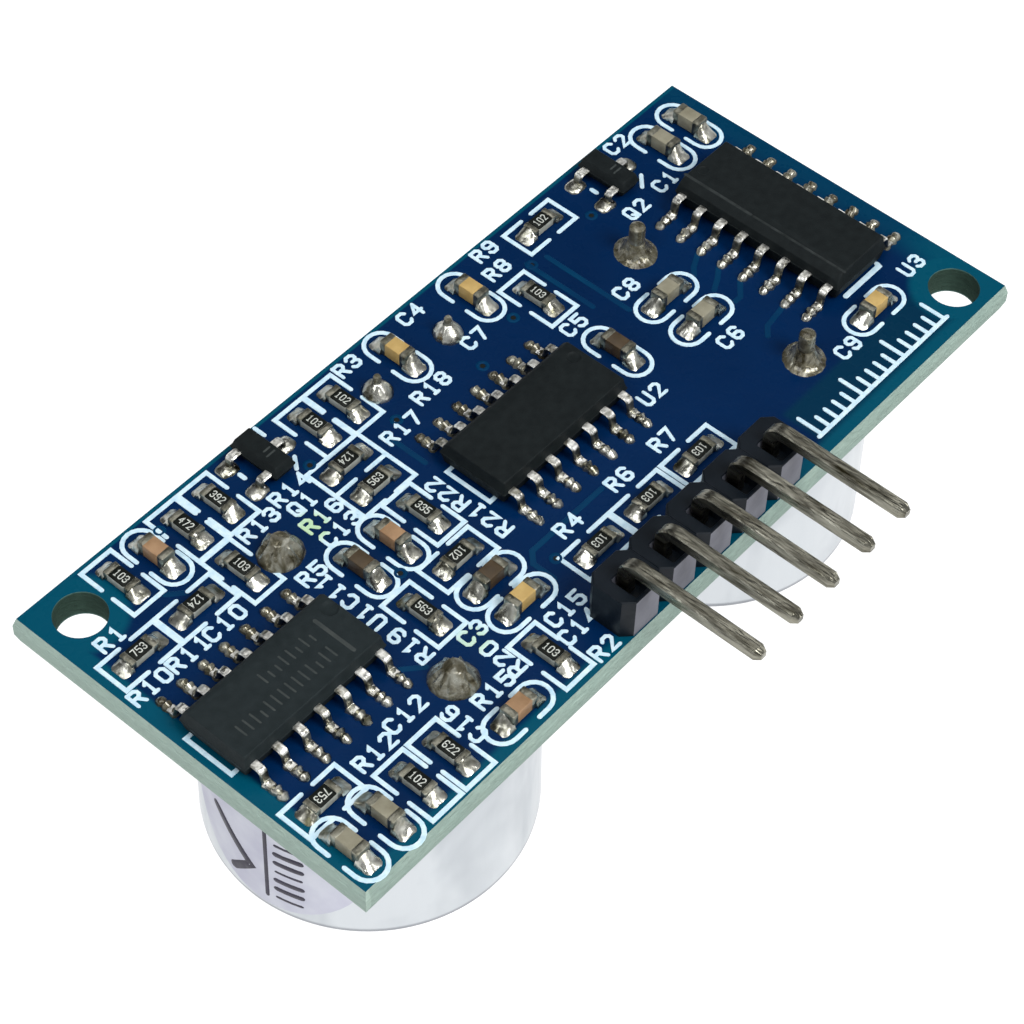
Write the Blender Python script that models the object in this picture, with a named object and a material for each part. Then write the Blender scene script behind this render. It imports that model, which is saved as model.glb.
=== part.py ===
"""Ultrasonic distance sensor: a 45 mm ranging module with two round transducers and five header pins.

The module stands on the front rims of its two transducer cans, so the circuit board lies flat on top
with its component side up. +X runs along the board from the receiver to the transmitter, the header
pins point along -Y, and +Z leaves the component side. The origin is at the middle of the foot of the
whole object. Lengths are in metres; places on the board are given from the board's centre.
"""

import math
from collections import namedtuple

import bmesh
import bpy
from mathutils import Vector

MM = 0.001

# Board
BOARD_LENGTH = 45.0 * MM
BOARD_WIDTH = 20.5 * MM
BOARD_THICKNESS = 1.6 * MM
EDGE_WEB = 0.15 * MM  # how far the broken web of the scored edge stands out
EDGE_SCORE_DEPTH = 0.5 * MM
MOUNT_HOLE_DIAMETER = 2.5 * MM
MOUNT_HOLES = ((-20.5 * MM, 8.35 * MM), (20.75 * MM, -8.5 * MM))
SEAT_GAP = 0.03 * MM  # the solder-paste gap under every soldered part

# Transducers
CAN_DIAMETER = 16.0 * MM
CAN_BACK_DIAMETER = 15.6 * MM
CAN_DEPTH = 11.9 * MM
CAN_WALL = 0.45 * MM
CAN_EDGE_RADIUS = 0.6 * MM
CAN_LIP = 1.5 * MM  # width of the front rim, from the outside to the grille opening
CAN_CRIMP = 1.0 * MM  # width of the edge that is turned in over the base
CAN_TO_BOARD = 0.1 * MM
GRILLE_THICKNESS = 0.3 * MM
GRILLE_HOLE_DIAMETER = 1.5 * MM
GRILLE_HOLE_PITCH = 1.95 * MM
GRILLE_HOLED_RADIUS = 6.0 * MM
BASE_THICKNESS = 1.6 * MM
INNER_GAP = 0.1 * MM  # between the can and what sits in it
SOUNDER_DISC_DIAMETER = 10.0 * MM
SOUNDER_DISC_THICKNESS = 0.6 * MM
SOUNDER_HEIGHT = 5.0 * MM  # the disc's lower face above the front rim
SOUNDER_NECK_DIAMETER = 2.4 * MM
SOUNDER_NECK_HEIGHT = 0.4 * MM
CONE_DIAMETER = 9.2 * MM
CONE_DEPTH = 2.2 * MM
CONE_WALL = 0.3 * MM
TRANSDUCER_SPACING = 24.6 * MM
TRANSDUCER_Y = -0.85 * MM
TRANSDUCER_PIN_PITCH = 10.2 * MM
TRANSDUCER_PIN_DIAMETER = 0.8 * MM
TRANSDUCER_PIN_HOLE = 1.1 * MM
PIN_STAND_OUT = {"receiver": 0.5 * MM, "transmitter": 1.8 * MM}  # above the component side

# Pin header
HEADER_PITCH = 2.54 * MM
HEADER_PINS = 5
HEADER_X = 0.5 * MM
HEADER_Y = -8.95 * MM
HEADER_DEPTH = 2.5 * MM
HEADER_HEIGHT = 2.4 * MM
HEADER_NOTCH = 0.45 * MM
HEADER_TOP_BEVEL = 0.15 * MM
PIN_SIDE = 0.64 * MM
PIN_HOLE_SIDE = 0.70 * MM
PIN_DRILL = 1.0 * MM
PIN_RUN_HEIGHT = 3.4 * MM  # middle of the level run, above the component side
PIN_TAIL = 1.3 * MM  # below the board
PIN_BEND_RADIUS = 0.7 * MM
PIN_BEND_STEPS = 6
PIN_TIP_Y = -16.3 * MM
PIN_TIP_TAPER = 0.3 * MM

# Crystal
CRYSTAL_LENGTH = 11.0 * MM
CRYSTAL_WIDTH = 4.65 * MM
CRYSTAL_HEIGHT = 3.5 * MM
CRYSTAL_FLANGE = 0.45 * MM  # thickness of the flange next to the board
CRYSTAL_FLANGE_REACH = 0.4 * MM  # how far it stands out past the case
CRYSTAL_EDGE = 0.25 * MM
CRYSTAL_TO_BOARD = 0.1 * MM
CRYSTAL_PIN_PITCH = 4.88 * MM
CRYSTAL_PIN_DIAMETER = 0.43 * MM
CRYSTAL_DRILL = 0.8 * MM
CRYSTAL_X = -0.1 * MM
CRYSTAL_Y = 7.45 * MM
CRYSTAL_STAND_OUT = 2.2 * MM

# Chip parts, case size 0603
CHIP_LENGTH = 1.6 * MM
CHIP_WIDTH = 0.8 * MM
CHIP_END = 0.3 * MM
CHIP_END_STEP = 0.02 * MM  # how far the plated ends stand proud of the middle
CHIP_EDGE = 0.05 * MM
RESISTOR_HEIGHT = 0.45 * MM
CAPACITOR_HEIGHT = 0.8 * MM

# Moulded packages with gull-wing leads
LEAD_THICKNESS = 0.18 * MM
LEAD_ROOT = 0.3 * MM  # how far a lead reaches into the body
LEAD_RISE = 0.12 * MM  # how far the two bends of a lead lie outside its lower line
BODY_LIFT = 0.12 * MM
BODY_DRAFT = 0.12 * MM  # how much narrower the top and the bottom of a body are than its middle
SO_PITCH = 1.27 * MM
SOT_PITCH = 1.90 * MM

# A lead is (place along the body, side): side 1 is the body's own +Y side, and -1 its -Y side
Package = namedtuple("Package", "length width height span foot lead_width leads")


def both_sides(count):
    row = [(i - (count - 1) / 2) * SO_PITCH for i in range(count)]
    return [(along, side) for along in row for side in (-1, 1)]


PACKAGES = {
    "so_14": Package(8.65 * MM, 3.9 * MM, 1.6 * MM, 6.0 * MM, 0.75 * MM, 0.42 * MM, both_sides(7)),
    "so_16": Package(9.9 * MM, 3.9 * MM, 1.6 * MM, 6.0 * MM, 0.75 * MM, 0.42 * MM, both_sides(8)),
    "sot_23": Package(2.9 * MM, 1.3 * MM, 1.0 * MM, 2.4 * MM, 0.35 * MM, 0.42 * MM,
                      [(-SOT_PITCH / 2, 1), (SOT_PITCH / 2, 1), (0.0, -1)]),
}

# Check label on the receiver's can
LABEL_DIAMETER = 10.0 * MM
LABEL_THICKNESS = 0.1 * MM
LABEL_DIRECTION = math.radians(188)
LABEL_HEIGHT = 5.9 * MM
LABEL_GAP = 0.03 * MM

# Heights below are counted from the component side, and so are all of the places above
CAN_FRONT = -BOARD_THICKNESS - CAN_TO_BOARD - CAN_DEPTH

# The board's place in the object's frame
BOARD_TOP = -CAN_FRONT
BOARD_Y = -(BOARD_WIDTH / 2 + EDGE_WEB + PIN_TIP_Y) / 2

ALONG_X = 0.0
ALONG_Y = math.pi / 2

# (x, y) in millimetres from the board's centre, and the direction of the long side
RESISTORS = (
    (-18.07, 8.26, ALONG_Y), (-14.12, 8.25, ALONG_Y), (-12.13, 8.25, ALONG_Y),
    (-20.33, 4.90, ALONG_X), (-16.88, 4.90, ALONG_X), (-14.12, 4.83, ALONG_Y),
    (-20.50, -6.00, ALONG_X), (-17.27, -8.36, ALONG_Y), (-15.20, -8.36, ALONG_Y),
    (-10.57, -2.67, ALONG_Y), (-7.33, -1.77, ALONG_X), (-8.57, -8.20, ALONG_Y),
    (-6.05, 8.10, ALONG_Y), (-4.15, 8.10, ALONG_Y), (-6.67, 5.55, ALONG_X),
    (-6.67, 3.75, ALONG_X), (-6.45, 1.07, ALONG_Y), (-2.65, -5.95, ALONG_X),
    (0.82, -5.95, ALONG_X), (4.41, -5.95, ALONG_X), (6.84, 5.75, ALONG_Y),
    (10.48, 8.75, ALONG_X),
)

# The same, with the colour of the ceramic
TAN = (0.50, 0.30, 0.18)
YELLOW = (0.62, 0.44, 0.16)
BROWN = (0.16, 0.09, 0.05)
PALE = (0.45, 0.42, 0.33)
CAPACITORS = (
    (-16.08, 8.13, ALONG_Y, TAN), (-21.43, -8.40, ALONG_Y, PALE), (-19.33, -8.45, ALONG_Y, PALE),
    (-11.75, -9.10, ALONG_X, TAN), (-10.58, 0.98, ALONG_Y, BROWN), (-8.53, 1.00, ALONG_Y, TAN),
    (-7.25, -3.60, ALONG_X, BROWN), (-7.25, -5.42, ALONG_X, YELLOW), (-0.33, 8.20, ALONG_Y, YELLOW),
    (4.80, 8.17, ALONG_Y, YELLOW), (6.80, 0.82, ALONG_Y, BROWN), (18.70, 7.77, ALONG_Y, PALE),
    (20.80, 7.78, ALONG_Y, PALE), (11.00, 1.28, ALONG_X, PALE), (11.00, -0.85, ALONG_X, PALE),
    (17.00, -6.53, ALONG_X, YELLOW),
)
MOULDED_PARTS = (
    ("echo_amplifier_ic", "so_14", -17.60, -1.05, ALONG_X),
    ("controller_ic", "so_14", 0.50, 0.55, ALONG_X),
    ("driver_ic", "so_16", 18.00, 0.00, ALONG_Y),
    ("transistor_left", "sot_23", -9.10, 8.40, ALONG_Y),
    ("transistor_right", "sot_23", 15.10, 8.30, ALONG_Y),
)

# Colours: (red, green, blue), roughness, metallic
SOLDER_MASK = ((0.01, 0.05, 0.22), 0.35, 0.0)
ALUMINIUM = ((0.80, 0.81, 0.83), 0.30, 1.0)
GRILLE_METAL = ((0.45, 0.46, 0.48), 0.40, 1.0)
PHENOLIC = ((0.06, 0.06, 0.06), 0.60, 0.0)
CONE_METAL = ((0.72, 0.72, 0.74), 0.35, 1.0)
BLACK_PLASTIC = ((0.015, 0.015, 0.02), 0.45, 0.0)
TINNED = ((0.45, 0.42, 0.36), 0.35, 1.0)
MOULDED_EPOXY = ((0.018, 0.020, 0.022), 0.55, 0.0)
RESISTOR_BLACK = ((0.02, 0.02, 0.02), 0.40, 0.0)
PAPER_WHITE = ((0.75, 0.76, 0.80), 0.60, 0.0)
CERAMIC_ROUGHNESS = 0.45


def clear_scene():
    for obj in list(bpy.data.objects):
        bpy.data.objects.remove(obj, do_unlink=True)


def material(name, colour, roughness, metallic):
    mat = bpy.data.materials.get(name)
    if mat is None:
        mat = bpy.data.materials.new(name)
        mat.use_nodes = True
        shader = mat.node_tree.nodes["Principled BSDF"]
        shader.inputs["Base Color"].default_value = (*colour, 1.0)
        shader.inputs["Roughness"].default_value = roughness
        shader.inputs["Metallic"].default_value = metallic
    return mat


def mesh_from(name, build):
    """A mesh made by a function that fills a bmesh."""
    bm = bmesh.new()
    build(bm)
    bmesh.ops.recalc_face_normals(bm, faces=bm.faces)
    mesh = bpy.data.meshes.new(name)
    bm.to_mesh(mesh)
    bm.free()
    return mesh


def place(name, mesh, look, location=(0, 0, 0), turn=0.0, smooth=False):
    """An object on the board: its parent is the empty at the centre of the component side."""
    obj = bpy.data.objects.new(name, mesh)
    bpy.context.scene.collection.objects.link(obj)
    obj.parent = BOARD_FRAME
    obj.location = location
    obj.rotation_euler = (0, 0, turn)
    if not mesh.materials:
        mesh.materials.append(None)
    obj.material_slots[0].link = "OBJECT"
    obj.material_slots[0].material = material(name, *look)
    if smooth:
        mesh.shade_smooth()
        mesh.set_sharp_from_angle(angle=math.radians(35))
    return obj


def helper(name, mesh):
    """A cutter, or a shape to be joined to another. It is left out of the model."""
    obj = bpy.data.objects.new(name, mesh)
    bpy.context.scene.collection.objects.link(obj)
    obj.parent = BOARD_FRAME
    obj.hide_render = True
    obj.display_type = "WIRE"
    return obj


def boolean(obj, other, operation):
    modifier = obj.modifiers.new(operation.lower(), "BOOLEAN")
    modifier.operation = operation
    modifier.object = other
    modifier.solver = "EXACT"


def ring(bm, corners):
    return [bm.verts.new(corner) for corner in corners]


def skin(bm, rings):
    """Side faces between rings of equal length, with the first and the last ring closed."""
    for lower, upper in zip(rings, rings[1:]):
        count = len(lower)
        for i in range(count):
            j = (i + 1) % count
            bm.faces.new((lower[i], lower[j], upper[j], upper[i]))
    bm.faces.new(reversed(rings[0]))
    bm.faces.new(rings[-1])


def rectangle(half_x, half_y, z):
    return [(-half_x, -half_y, z), (half_x, -half_y, z), (half_x, half_y, z), (-half_x, half_y, z)]


def circle(x, y, radius, z, sides):
    turns = (2 * math.pi * i / sides for i in range(sides))
    return [(x + radius * math.cos(a), y + radius * math.sin(a), z) for a in turns]


def round_bar(bm, x, y, radius, low, high, sides=16):
    skin(bm, [ring(bm, circle(x, y, radius, z, sides)) for z in (low, high)])


def turned(bm, profile, sides, centre=(0, 0)):
    """A ring-shaped solid: a closed (radius, height) profile turned about Z."""
    loops = []
    for i in range(sides):
        a = 2 * math.pi * i / sides
        corners = ((centre[0] + r * math.cos(a), centre[1] + r * math.sin(a), z) for r, z in profile)
        loops.append([bm.verts.new(corner) for corner in corners])
    for i in range(sides):
        here, after = loops[i], loops[(i + 1) % sides]
        for j in range(len(profile)):
            k = (j + 1) % len(profile)
            bm.faces.new((here[j], after[j], after[k], here[k]))


def turned_solid(bm, profile, sides, centre=(0, 0)):
    """A (radius, height) profile turned about Z, with a flat face across its first and its last ring."""
    skin(bm, [ring(bm, circle(*centre, r, z, sides)) for r, z in profile])


def arc(centre_r, centre_z, radius, start, end, steps=3):
    """Profile points along a rounded edge, from one angle in degrees to another."""
    angles = (math.radians(start + (end - start) * i / steps) for i in range(steps + 1))
    return [(centre_r + radius * math.cos(a), centre_z + radius * math.sin(a)) for a in angles]


def pin_places():
    first = HEADER_X - HEADER_PITCH * (HEADER_PINS - 1) / 2
    return [first + HEADER_PITCH * i for i in range(HEADER_PINS)]


def transducer_places():
    return {"receiver": -TRANSDUCER_SPACING / 2, "transmitter": TRANSDUCER_SPACING / 2}


def crystal_pin_places():
    return [CRYSTAL_X + side * CRYSTAL_PIN_PITCH / 2 for side in (-1, 1)]


def make_board():
    def plate(bm):
        half_x, half_y = BOARD_LENGTH / 2, BOARD_WIDTH / 2
        levels = (
            (0.0, -BOARD_THICKNESS),
            (EDGE_WEB, -BOARD_THICKNESS + EDGE_SCORE_DEPTH),
            (EDGE_WEB, -EDGE_SCORE_DEPTH),
            (0.0, 0.0),
        )
        skin(bm, [ring(bm, rectangle(half_x + out, half_y + out, z)) for out, z in levels])

    def drills(bm):
        low, high = -2 * BOARD_THICKNESS, BOARD_THICKNESS
        for x, y in MOUNT_HOLES:
            round_bar(bm, x, y, MOUNT_HOLE_DIAMETER / 2, low, high, 40)
        for x in pin_places():
            round_bar(bm, x, HEADER_Y, PIN_DRILL / 2, low, high, 12)
        for x in transducer_places().values():
            for side in (-1, 1):
                y = TRANSDUCER_Y + side * TRANSDUCER_PIN_PITCH / 2
                round_bar(bm, x, y, TRANSDUCER_PIN_HOLE / 2, low, high, 12)
        for x in crystal_pin_places():
            round_bar(bm, x, CRYSTAL_Y, CRYSTAL_DRILL / 2, low, high, 12)

    board = place("circuit_board", mesh_from("circuit_board", plate), SOLDER_MASK)
    boolean(board, helper("drills", mesh_from("drills", drills)), "DIFFERENCE")


def make_can(role, x):
    """The drawn aluminium shell: a rolled rim in front, a slight taper, and a crimped edge behind."""
    radius, back_radius = CAN_DIAMETER / 2, CAN_BACK_DIAMETER / 2
    rounding = CAN_EDGE_RADIUS
    profile = arc(radius - rounding, rounding, rounding, -90, 0)
    profile += arc(back_radius - rounding, CAN_DEPTH - rounding, rounding, 0, 90)
    profile += [
        (back_radius - CAN_CRIMP, CAN_DEPTH), (back_radius - CAN_CRIMP, CAN_DEPTH - CAN_WALL),
        (back_radius - CAN_WALL, CAN_DEPTH - CAN_WALL), (radius - CAN_WALL, CAN_WALL),
        (radius - CAN_LIP, CAN_WALL), (radius - CAN_LIP, 0.0),
    ]

    def shell(bm):
        turned(bm, [(r, CAN_FRONT + z) for r, z in profile], 48, (x, TRANSDUCER_Y))

    place(f"{role}_can", mesh_from(f"{role}_can", shell), ALUMINIUM, smooth=True)


def make_grille(role, x):
    """The disc behind the front rim, with six-sided holes in a triangular pattern."""
    low = CAN_FRONT + CAN_WALL + INNER_GAP / 2
    high = low + GRILLE_THICKNESS
    edge = CAN_DIAMETER / 2 - CAN_WALL - INNER_GAP

    def plate(bm):
        turned_solid(bm, [(edge, low), (edge, high)], 48, (x, TRANSDUCER_Y))

    def holes(bm):
        for row in range(-3, 4):
            count = 7 - abs(row)
            for column in range(count):
                across = (column - (count - 1) / 2) * GRILLE_HOLE_PITCH
                along = row * GRILLE_HOLE_PITCH * math.sqrt(3) / 2
                if math.hypot(across, along) < GRILLE_HOLED_RADIUS:
                    centre = (x + across, TRANSDUCER_Y + along)
                    round_bar(bm, *centre, GRILLE_HOLE_DIAMETER / 2, low - MM, high + MM, 6)

    name = f"{role}_grille"
    grille = place(name, mesh_from(name, plate), GRILLE_METAL)
    boolean(grille, helper(f"{name}_holes", mesh_from(f"{name}_holes", holes)), "DIFFERENCE")


def make_base(role, x):
    """The base disc that closes the can's back, joined with its two pins."""
    high = CAN_FRONT + CAN_DEPTH - CAN_WALL - INNER_GAP
    low = high - BASE_THICKNESS
    edge = CAN_BACK_DIAMETER / 2 - CAN_WALL - INNER_GAP

    def disc(bm):
        turned_solid(bm, [(edge, low), (edge, high)], 40, (x, TRANSDUCER_Y))

    def pins(bm):
        root = (low + high) / 2
        for side in (-1, 1):
            y = TRANSDUCER_Y + side * TRANSDUCER_PIN_PITCH / 2
            round_bar(bm, x, y, TRANSDUCER_PIN_DIAMETER / 2, root, PIN_STAND_OUT[role], 12)

    name = f"{role}_base"
    base = place(name, mesh_from(name, disc), PHENOLIC)
    boolean(base, helper(f"{name}_pins", mesh_from(f"{name}_pins", pins)), "UNION")


def make_sounder(role, x):
    """The piezo disc with the thin metal cone that is glued to it, opening towards the grille."""
    disc, neck, cone = SOUNDER_DISC_DIAMETER / 2, SOUNDER_NECK_DIAMETER / 2, CONE_DIAMETER / 2
    shoulder = SOUNDER_HEIGHT - SOUNDER_NECK_HEIGHT
    profile = (
        (disc, SOUNDER_HEIGHT + SOUNDER_DISC_THICKNESS), (disc, SOUNDER_HEIGHT), (neck, SOUNDER_HEIGHT),
        (neck, shoulder), (cone, shoulder - CONE_DEPTH),
        (cone - CONE_WALL, shoulder - CONE_DEPTH - CONE_WALL), (neck / 2, shoulder - CONE_WALL),
    )

    def revolve(bm):
        turned_solid(bm, [(r, CAN_FRONT + z) for r, z in profile], 32, (x, TRANSDUCER_Y))

    place(f"{role}_sounder", mesh_from(f"{role}_sounder", revolve), CONE_METAL, smooth=True)


def make_label():
    """A round paper label that follows the slightly tapered side of the receiver's can."""
    centre_x = transducer_places()["receiver"]
    rings, sides = 4, 32

    def can_radius(height):
        share = (height - CAN_EDGE_RADIUS) / (CAN_DEPTH - 2 * CAN_EDGE_RADIUS)
        return (CAN_DIAMETER + (CAN_BACK_DIAMETER - CAN_DIAMETER) * share) / 2

    def spot(reach, turn, lift):
        height = LABEL_HEIGHT + reach * math.sin(turn)
        radius = can_radius(height) + LABEL_GAP + lift
        a = LABEL_DIRECTION + reach * math.cos(turn) / (CAN_DIAMETER / 2)
        return (centre_x + radius * math.cos(a), TRANSDUCER_Y + radius * math.sin(a), CAN_FRONT + height)

    def sheet(bm, lift):
        """One side of the label, as a fan inside rings. It returns the outermost ring."""
        middle = bm.verts.new(spot(0, 0, lift))
        turns = [2 * math.pi * j / sides for j in range(sides)]
        reaches = [LABEL_DIAMETER / 2 * i / rings for i in range(1, rings + 1)]
        loops = [ring(bm, [spot(reach, turn, lift) for turn in turns]) for reach in reaches]
        for j in range(sides):
            k = (j + 1) % sides
            bm.faces.new((middle, loops[0][j], loops[0][k]))
            for inner, outer in zip(loops, loops[1:]):
                bm.faces.new((inner[j], outer[j], outer[k], inner[k]))
        return loops[-1]

    def patch(bm):
        under, over = sheet(bm, 0.0), sheet(bm, LABEL_THICKNESS)
        for j in range(sides):
            k = (j + 1) % sides
            bm.faces.new((under[j], under[k], over[k], over[j]))

    place("check_label", mesh_from("check_label", patch), PAPER_WHITE, smooth=True)


def make_header_housing():
    """Five eight-sided blocks in a row, which leave a V-notch on both sides between neighbours."""
    half_depth = HEADER_DEPTH / 2
    length = HEADER_PITCH * HEADER_PINS

    def side_row(side, inset):
        """The corners of one long side: each notch's bottom, then the two ends of the next block's face."""
        shallow, deep = side * (half_depth - inset), side * (half_depth - HEADER_NOTCH - inset)
        corners = []
        for i in range(HEADER_PINS):
            start = -length / 2 + HEADER_PITCH * i
            end = start + HEADER_PITCH
            corners += [(start, deep), (start + HEADER_NOTCH, shallow), (end - HEADER_NOTCH, shallow)]
        return corners + [(length / 2, deep)]

    def outline(inset, z):
        corners = side_row(-1, inset) + side_row(1, inset)[::-1]
        narrowing = 1 - 2 * inset / length
        return [(HEADER_X + x * narrowing, HEADER_Y + y, z) for x, y in corners]

    def strip(bm):
        bevel_foot = HEADER_HEIGHT - HEADER_TOP_BEVEL
        levels = ((0.0, SEAT_GAP), (0.0, bevel_foot), (HEADER_TOP_BEVEL, HEADER_HEIGHT))
        skin(bm, [ring(bm, outline(inset, z)) for inset, z in levels])

    def pin_holes(bm):
        half = PIN_HOLE_SIDE / 2
        for x in pin_places():
            ends = [rectangle(half, half, z) for z in (-MM, HEADER_HEIGHT + MM)]
            skin(bm, [ring(bm, [(x + a, HEADER_Y + b, z) for a, b, z in end]) for end in ends])

    housing = place("header_housing", mesh_from("header_housing", strip), BLACK_PLASTIC)
    boolean(housing, helper("pin_holes", mesh_from("pin_holes", pin_holes)), "DIFFERENCE")


def make_header_pins():
    """Square pins: up through the board and the housing, round a quarter bend, and level past the edge."""
    bend_centre = Vector((0, HEADER_Y - PIN_BEND_RADIUS, PIN_RUN_HEIGHT - PIN_BEND_RADIUS))
    tail = -BOARD_THICKNESS - PIN_TAIL
    full, narrow = PIN_SIDE / 2, PIN_SIDE / 4
    back, up, across = Vector((0, 1, 0)), Vector((0, 0, 1)), Vector((1, 0, 0))
    # Each stop: the middle of the section, its direction away from the bend's centre, and its half side
    stops = [
        (Vector((0, HEADER_Y, tail)), back, narrow),
        (Vector((0, HEADER_Y, tail + PIN_TIP_TAPER)), back, full),
    ]
    for step in range(PIN_BEND_STEPS + 1):
        a = math.pi / 2 * step / PIN_BEND_STEPS
        out = back * math.cos(a) + up * math.sin(a)
        stops.append((bend_centre + out * PIN_BEND_RADIUS, out, full))
    stops += [
        (Vector((0, PIN_TIP_Y + PIN_TIP_TAPER, PIN_RUN_HEIGHT)), up, full),
        (Vector((0, PIN_TIP_Y, PIN_RUN_HEIGHT)), up, narrow),
    ]
    signs = ((-1, -1), (1, -1), (1, 1), (-1, 1))

    def bar(bm):
        skin(bm, [ring(bm, [middle + across * half * a + out * half * b for a, b in signs])
                  for middle, out, half in stops])

    mesh = mesh_from("header_pin", bar)
    for number, x in enumerate(pin_places(), 1):
        place(f"header_pin_{number}", mesh, TINNED, (x, 0, 0))


def make_crystal():
    """A flat round-ended metal case with a wider flange next to the board, joined with its two leads."""
    top = -BOARD_THICKNESS - CRYSTAL_TO_BOARD
    foot = top - CRYSTAL_HEIGHT
    half_steps = 8

    def oval(inset, z):
        radius = CRYSTAL_WIDTH / 2
        reach = CRYSTAL_LENGTH / 2 - radius
        corners = []
        for side in (1, -1):
            for step in range(half_steps + 1):
                a = math.pi * (step / half_steps - 0.5)
                x = side * (reach + (radius - inset) * math.cos(a))
                corners.append((CRYSTAL_X + x, CRYSTAL_Y + side * (radius - inset) * math.sin(a), z))
        return corners

    def case(bm):
        levels = (
            (CRYSTAL_FLANGE_REACH + CRYSTAL_EDGE, foot), (CRYSTAL_FLANGE_REACH, foot + CRYSTAL_EDGE),
            (CRYSTAL_FLANGE_REACH, top - CRYSTAL_FLANGE), (0.0, top - CRYSTAL_FLANGE), (0.0, top),
        )
        skin(bm, [ring(bm, oval(inset, z)) for inset, z in levels])

    def leads(bm):
        for x in crystal_pin_places():
            root = top - CRYSTAL_FLANGE
            round_bar(bm, x, CRYSTAL_Y, CRYSTAL_PIN_DIAMETER / 2, root, CRYSTAL_STAND_OUT, 10)

    crystal = place("quartz_crystal", mesh_from("quartz_crystal", case), ALUMINIUM, smooth=True)
    boolean(crystal, helper("crystal_leads", mesh_from("crystal_leads", leads)), "UNION")


def chip_mesh(name, height):
    """A ceramic block along X whose plated ends stand a little proud of its middle."""
    end = CHIP_LENGTH / 2
    shoulder = end - CHIP_END
    # Each station: its place along X, and how far the section grows there past the bare ceramic
    half = (
        (shoulder - CHIP_EDGE, 0.0), (shoulder, CHIP_END_STEP),
        (end - CHIP_EDGE, CHIP_END_STEP), (end, -CHIP_EDGE),
    )
    stations = [(-x, grow) for x, grow in reversed(half)] + list(half)

    def section(x, grow):
        half_width = CHIP_WIDTH / 2 - CHIP_END_STEP + grow
        low = SEAT_GAP + CHIP_END_STEP - grow
        high = SEAT_GAP + height - CHIP_END_STEP + grow
        return [(x, -half_width, low), (x, half_width, low), (x, half_width, high), (x, -half_width, high)]

    return mesh_from(name, lambda bm: skin(bm, [ring(bm, section(x, grow)) for x, grow in stations]))


def make_chips():
    resistor = chip_mesh("chip_resistor", RESISTOR_HEIGHT)
    for number, (x, y, turn) in enumerate(RESISTORS, 1):
        place(f"resistor_{number:02d}", resistor, RESISTOR_BLACK, (x * MM, y * MM, 0), turn)
    capacitor = chip_mesh("chip_capacitor", CAPACITOR_HEIGHT)
    for number, (x, y, turn, colour) in enumerate(CAPACITORS, 1):
        look = (colour, CERAMIC_ROUGHNESS, 0.0)
        place(f"capacitor_{number:02d}", capacitor, look, (x * MM, y * MM, 0), turn)


def gull_wing(bm, package, along, side, height):
    """One bent lead in a plane across the body: out of it, down, and along a flat foot on the board."""
    thick, low = LEAD_THICKNESS, SEAT_GAP
    root, tip = package.width / 2 - LEAD_ROOT, package.span / 2
    heel = tip - package.foot
    knee = (package.width / 2 + heel) / 2
    path = (
        (root, height), (knee, height), (heel, low), (tip, low), (tip, low + thick),
        (heel + LEAD_RISE, low + thick), (knee + LEAD_RISE, height + thick), (root, height + thick),
    )
    edges = (along - package.lead_width / 2, along + package.lead_width / 2)
    skin(bm, [ring(bm, [(edge, side * out, z) for out, z in path]) for edge in edges])


def package_mesh(name):
    """The moulded body, widest at its parting line, and its leads, joined into one mesh."""
    package = PACKAGES[name]
    low, high = SEAT_GAP + BODY_LIFT, package.height
    middle = (low + high) / 2

    def body(bm):
        levels = ((BODY_DRAFT, low), (0.0, middle), (BODY_DRAFT, high))
        skin(bm, [ring(bm, rectangle(package.length / 2 - inset, package.width / 2 - inset, z))
                  for inset, z in levels])

    def wings(bm):
        for along, side in package.leads:
            gull_wing(bm, package, along, side, middle - LEAD_THICKNESS / 2)

    core = helper(f"{name}_core", mesh_from(f"{name}_core", body))
    arms = helper(f"{name}_arms", mesh_from(f"{name}_arms", wings))
    boolean(core, arms, "UNION")
    graph = bpy.context.evaluated_depsgraph_get()
    mesh = bpy.data.meshes.new_from_object(core.evaluated_get(graph))
    for obj in (core, arms):
        bpy.data.objects.remove(obj, do_unlink=True)
    return mesh


def make_moulded_parts():
    meshes = {name: package_mesh(name) for name in PACKAGES}
    for name, package, x, y, turn in MOULDED_PARTS:
        place(name, meshes[package], MOULDED_EPOXY, (x * MM, y * MM, 0), turn)


clear_scene()
BOARD_FRAME = bpy.data.objects.new("board_frame", None)
bpy.context.scene.collection.objects.link(BOARD_FRAME)
BOARD_FRAME.location = (0, BOARD_Y, BOARD_TOP)

make_board()
for transducer, place_x in transducer_places().items():
    make_can(transducer, place_x)
    make_grille(transducer, place_x)
    make_base(transducer, place_x)
    make_sounder(transducer, place_x)
make_label()
make_header_housing()
make_header_pins()
make_crystal()
make_chips()
make_moulded_parts()
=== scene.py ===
"""The looks of the ultrasonic distance sensor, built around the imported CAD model.

Unless a line says otherwise, lengths are in millimetres and places are counted from the middle of the
board's component side. A Shape turns them into metres in the object's frame.
"""

import random
from math import atan2, cos, hypot, pi, radians, sin, sqrt, tan

import bmesh
import bpy
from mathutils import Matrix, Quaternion, Vector


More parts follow.
